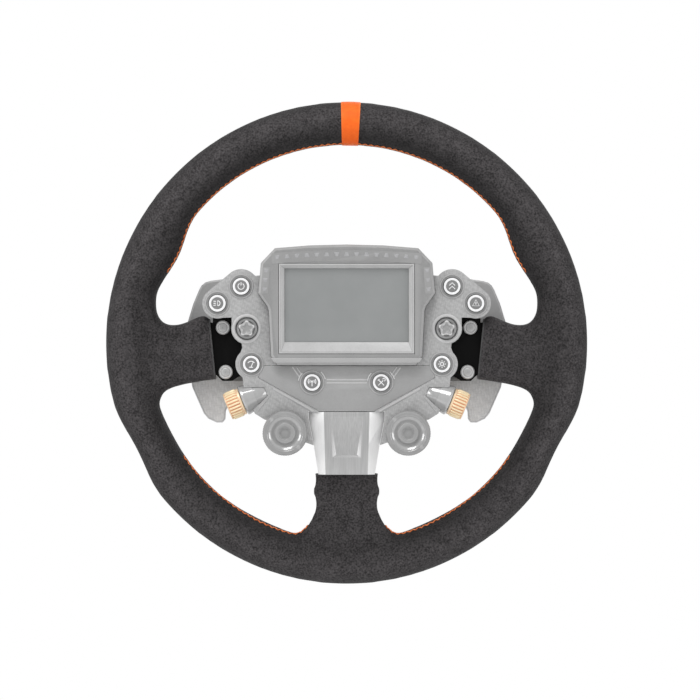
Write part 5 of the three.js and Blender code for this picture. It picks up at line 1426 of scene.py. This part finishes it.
# ---------------------------------------------------------------- Neck
# A silver cover joins the hub to the lower spoke. It is milled with a flat brushed face between two
# sloping sides painted near white as a highlight, and a tapered recess runs down the face to a shelf near its foot.
neck_low, neck_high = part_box("neck_cover")
neck_front, neck_back = neck_low.y / mm, neck_high.y / mm
NECK_EDGE, RECESS_DEPTH = 8, 2.3
work = bmesh.new()
rows = []
for z, half, face_half in ((-47, 26, 15.6), (-51, 26, 15.5), (-69, 22.6, 15.0), (-89.8, 19.2, 14.4)):
    section = [(-half, neck_back), (-half, neck_back - NECK_EDGE), (-face_half, neck_front),
               (face_half, neck_front), (half, neck_back - NECK_EDGE), (half, neck_back)]
    rows.append([work.verts.new((x * mm, y * mm, z * mm)) for x, y in section])
close_grid(work, rows, wrap=False)
work.faces.new(rows[0])
work.faces.new(rows[-1][::-1])
bmesh.ops.recalc_face_normals(work, faces=work.faces[:])
neck = piece_from("neck_silver", work, [])
work = bmesh.new()
ABOVE = 1.0
corners = [(-11.6, neck_front - ABOVE, -49.5), (11.6, neck_front - ABOVE, -49.5), (10.6, neck_front - ABOVE, -78.6),
           (-10.6, neck_front - ABOVE, -78.6), (-11.0, neck_front + 0.05, -50.5), (11.0, neck_front + 0.05, -50.5),
           (7.0, neck_front + RECESS_DEPTH, -76.4), (-7.0, neck_front + RECESS_DEPTH, -76.4)]
v = [work.verts.new((x * mm, y * mm, z * mm)) for x, y, z in corners]
for loop in ((0, 1, 2, 3), (4, 5, 6, 7), (0, 1, 5, 4), (1, 2, 6, 5), (2, 3, 7, 6), (3, 0, 4, 7)):
    work.faces.new([v[i] for i in loop])
bmesh.ops.triangulate(work, faces=work.faces[:])
bmesh.ops.recalc_face_normals(work, faces=work.faces[:])
neck = carved(neck, cut=[piece_from("recess", work, [])])

brushed, entry, leave = shader_group(
    "brushed", [("Dark", COLOUR, (0.5, 0.5, 0.5, 1)), ("Light", COLOUR, (0.7, 0.7, 0.7, 1)), ("Depth", FLOAT, 0.2)],
    [("Color", COLOUR), ("Normal", VECTOR)])
where = step(brushed, "ShaderNodeTexCoord")
drawn = step(brushed, "ShaderNodeMapping", {"Vector": where.outputs["Object"], "Scale": (1.0, 1.0, 0.03)})
lines = step(brushed, "ShaderNodeTexNoise", {"Vector": drawn.outputs[0], "Scale": 2400.0, "Detail": 3.0})
wide = step(brushed, "ShaderNodeMapRange", {"Value": lines.outputs["Fac"], "From Min": 0.3, "From Max": 0.7})
blend = step(brushed, "ShaderNodeMix", {0: wide.outputs[0], 6: entry.outputs["Dark"], 7: entry.outputs["Light"]},
             data_type="RGBA")
relief = step(brushed, "ShaderNodeBump", {"Strength": entry.outputs["Depth"], "Height": lines.outputs["Fac"],
                                          "Distance": 0.0001})
brushed.links.new(blend.outputs[2], leave.inputs["Color"])
brushed.links.new(relief.outputs[0], leave.inputs["Normal"])


def brushed_metal(name, dark, light, roughness, metallic, depth=0.15):
    material, tree, shader = shader_for(name, roughness, metallic)
    drawn = placed_group(tree, brushed, {"Dark": (dark, dark, dark, 1), "Light": (light, light, light, 1),
                                         "Depth": depth})
    tree.links.new(drawn.outputs["Color"], shader.inputs["Base Color"])
    tree.links.new(drawn.outputs["Normal"], shader.inputs["Normal"])
    return material


silver = brushed_metal("brushed_silver", 0.43, 0.54, 0.33, 0.4)
neck_side_highlight = brushed_metal("neck_side_highlight", 0.92, 1.0, 0.3, 0.0)
neck = eased(neck, 0.35, [silver, painted_edge_highlight, neck_side_highlight], 1, smooth_angle=25)
RECESS_REACH = 12 * mm
# Painted highlight: the sloping sides outside the recess take the near-white silver, picked by the way each face
# points.
for face in neck.data.polygons:
    if face.material_index == 0 and abs(face.center.x) > RECESS_REACH and abs(face.normal.x) > 0.15:
        face.material_index = 2
fitted(neck, "hub", "silver", "neck_cover")

# ---------------------------------------------------------------- Chassis and back
# A cast case behind the rim plate holds the main board, with an ear for each rim bolt. A moulded
# cover closes it, with the socket for the cable and a screw near each corner.
cast_grey = moulded("cast_grey", 0.3, 0.55, 0.4, depth=0.3, size=1300.0, edge=1.5)
cover_grey = moulded("cover_grey", 0.25, 0.5, depth=0.25, size=1700.0, edge=1.4)
fitted(softened("hub_case", "hub_chassis", [cast_grey], 0.5), "hub", "cast_body", "hub_chassis")
fitted(softened("case_back", "back_cover", [cover_grey], 0.6), "hub", "grey_plastic", "back_cover")
fitted(softened("cable_socket", "usb_socket", [turned_steel], 0.15), "hub", "steel", "usb_socket")
socket_low, socket_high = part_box("usb_socket")
cover_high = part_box("back_cover")[1]


def cap_screw(work, radius, height):
    """A low round screw head on the XY plane with a hexagon socket."""
    sides = 24
    socket = radius * 0.42
    outline = [(radius, -0.3, False), (radius, height - 0.25, False), (radius - 0.25, height, False),
               (radius * 0.55, height, False), (socket, height, True), (socket, height * 0.4, True)]
    rings = []
    for r, h, six_sided in outline:
        ring = []
        for i in range(sides):
            t = 2 * math.pi * i / sides
            reach = r / math.cos(t % (math.pi / 3) - math.pi / 6) if six_sided else r
            ring.append(work.verts.new((reach * mm * math.cos(t), reach * mm * math.sin(t), h * mm)))
        rings.append(ring)
    for a, b in zip(rings, rings[1:]):
        for i in range(sides):
            j = (i + 1) % sides
            work.faces.new((a[i], a[j], b[j], b[i]))
    work.faces.new(rings[-1])
    work.faces.new(rings[0][::-1])
    bmesh.ops.recalc_face_normals(work, faces=work.faces[:])


# One tree stands a copy of a small piece on every point.
on_points, entry, leave = geometry_tree("pieces_on_points", [("Piece", OBJECT), ("Finish", MATERIAL)])
copy = step(on_points, "GeometryNodeObjectInfo", {"Object": entry.outputs["Piece"]}, transform_space="ORIGINAL")
set_down = step(on_points, "GeometryNodeInstanceOnPoints", {
    "Points": entry.outputs["Geometry"], "Instance": copy.outputs["Geometry"]})
real = step(on_points, "GeometryNodeRealizeInstances", {"Geometry": set_down.outputs[0]})
finish = step(on_points, "GeometryNodeSetMaterial", {"Geometry": real.outputs[0], "Material": entry.outputs["Finish"]})
on_points.links.new(finish.outputs[0], leave.inputs[0])


def screws_at(name, spots, y, backward, radius, height, finish):
    """A screw at each listed X and Z, standing on a face that looks backward or forward."""
    template = pattern_piece(cap_screw, radius=radius, height=height)
    mesh = bpy.data.meshes.new(name)
    mesh.from_pydata([Vector((x * mm, z * mm, 0)) for x, z in spots], [], [])
    made = grown_by(name, mesh, on_points, {"Piece": template, "Finish": finish}, 30)
    bpy.data.objects.remove(template)
    turn = Matrix.Rotation(-math.pi / 2 if backward else math.pi / 2, 4, "X")
    flip = Matrix.Scale(-1, 4, (0, 1, 0)) if backward else Matrix()
    made.data.transform(Matrix.Translation((0, y, 0)) @ turn @ flip)
    if backward:
        made.data.flip_normals()
    return made


cover_spots = [(sx * 41, sz) for sx in (-1, 1) for sz in (46, 5, -36)]
fitted(screws_at("cover_screws", cover_spots, cover_high.y - 0.05 * mm, True, 2.2, 0.25, turned_steel),
       "hub", "bolt_steel")
middle_z = (socket_low.z + socket_high.z) / 2 / mm
tongue = slab([(-3.2, middle_z - 0.5), (3.2, middle_z - 0.5), (3.2, middle_z + 0.5), (-3.2, middle_z + 0.5)],
              socket_low.y / mm + 3.9, socket_high.y / mm - 0.6)
fitted(eased(named(tongue, "socket_tongue"), 0.12, [cap_grey]), "hub", "steel")

# ---------------------------------------------------------------- Paddles
# Two shift paddles of bare grey metal above, and two clutch paddles of carbon below, swing on steel
# pins in brackets on the case. Each blade's edge is rolled over in a double bevel painted pale as a
# highlight.
# Painted light: both blade finishes are set lighter than their own tone to lift the shade they sit in behind the hub.
blade_grey = moulded("blade_grey", 0.5, 0.42, 0.05, depth=0.15, size=2200.0, edge=1.5)
blade_carbon = woven("blade_carbon", 0.74, 0.95, 0.0018, depth=0.3)
for side, sign in SIDES:
    fitted(softened(f"shift_blade_{side}", f"shift_paddle_{side}", [blade_grey, painted_edge_highlight], 0.45, 3, 28, 1),
           f"shift_paddle_{side}", "grey_plastic", f"shift_paddle_{side}")
    fitted(softened(f"clutch_blade_{side}", f"clutch_paddle_{side}", [blade_carbon, painted_edge_highlight], 0.4, 3, 28, 1),
           f"clutch_paddle_{side}", "carbon", f"clutch_paddle_{side}")
    fitted(softened(f"hinge_bracket_{side}", f"paddle_bracket_{side}", [cast_grey], 0.4), "hub", "cast_body",
           f"paddle_bracket_{side}")
    node = f"paddle_pin_{side}"
    low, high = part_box(node)
    centre = (low + high) / 2
    long = (high.z - low.z) / mm
    place = Matrix.Translation((centre.x, centre.y, low.z))
    fitted(spun(f"hinge_pin_{side}", [(0, 0), (1.2, 0), (1.5, 0.3), (1.5, long - 0.3), (1.2, long), (0, long)], place,
                [turned_steel], sides=48), "hub", "steel", node)

# ---------------------------------------------------------------- Quick release
# A turned steel adapter bolts to the back of the hub. Its sprung collar has a knurled grip, and six
# cap screws hold the flange.
adapter_steel = moulded("adapter_steel", 0.3, 0.3, 0.75, depth=0.08, size=2600.0, edge=1.6)
place = facing(0, 0, 0)
front = -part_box("quick_release_adapter")[0].y / mm
fitted(spun("adapter_body", [
    (0, 0.9), (8.5, 0.9), (8.9, 0), (22.8, 0), (24, 1.2), (24, 3.0), (23.6, 3.4), (24, 3.8), (24, front - 14.3),
    (24.3, front - 14), (27.2, front - 14), (27.5, front - 13.7), (27.5, front - 6.5), (28, front - 6), (34.4, front - 6),
    (35, front - 5.4), (35, front - 0.4), (34.6, front), (0, front)], place, [adapter_steel]), "hub", "steel",
    "quick_release_adapter")
flange_back = -(front - 6) * mm


def six_round(radius, first):
    turns = [math.radians(60 * k + first) for k in range(6)]
    return [(radius * math.cos(t), radius * math.sin(t)) for t in turns]


fitted(screws_at("flange_screws", six_round(31.2, 30), flange_back, True, 2.4, 2.2, bolt_steel), "hub", "bolt_steel")
fitted(screws_at("contact_pins", six_round(5, 0), -0.95 * mm, True, 0.9, 0.6, gold), "hub", "gold")
collar_low, collar_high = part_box("quick_release_collar")
back, ahead = -collar_high.y / mm, -collar_low.y / mm
fitted(spun("release_collar", [
    (24.35, back + 0.4), (24.7, back), (30.6, back), (31.4, back + 0.8), (31.4, back + 2.6), (30.9, back + 3),
    (30.9, ahead - 3), (31.4, ahead - 2.6), (31.4, ahead - 0.8), (30.6, ahead), (24.7, ahead),
    (24.35, ahead - 0.4)], place, [dial_grey], closed=True), "quick_release_collar", "dial_grey",
    "quick_release_collar")
fitted(ring_of("collar_knurl", pattern_piece(straight_rib, width=1.2, height=1.0, length=ahead - back - 6.4,
                                             low_end=back + 3.2), 96, 30.9, dial_grey, place),
       "quick_release_collar", "dial_grey")

# ---------------------------------------------------------------- Finish
# The bounds of everything shown are worked out after dressing.
low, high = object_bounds()
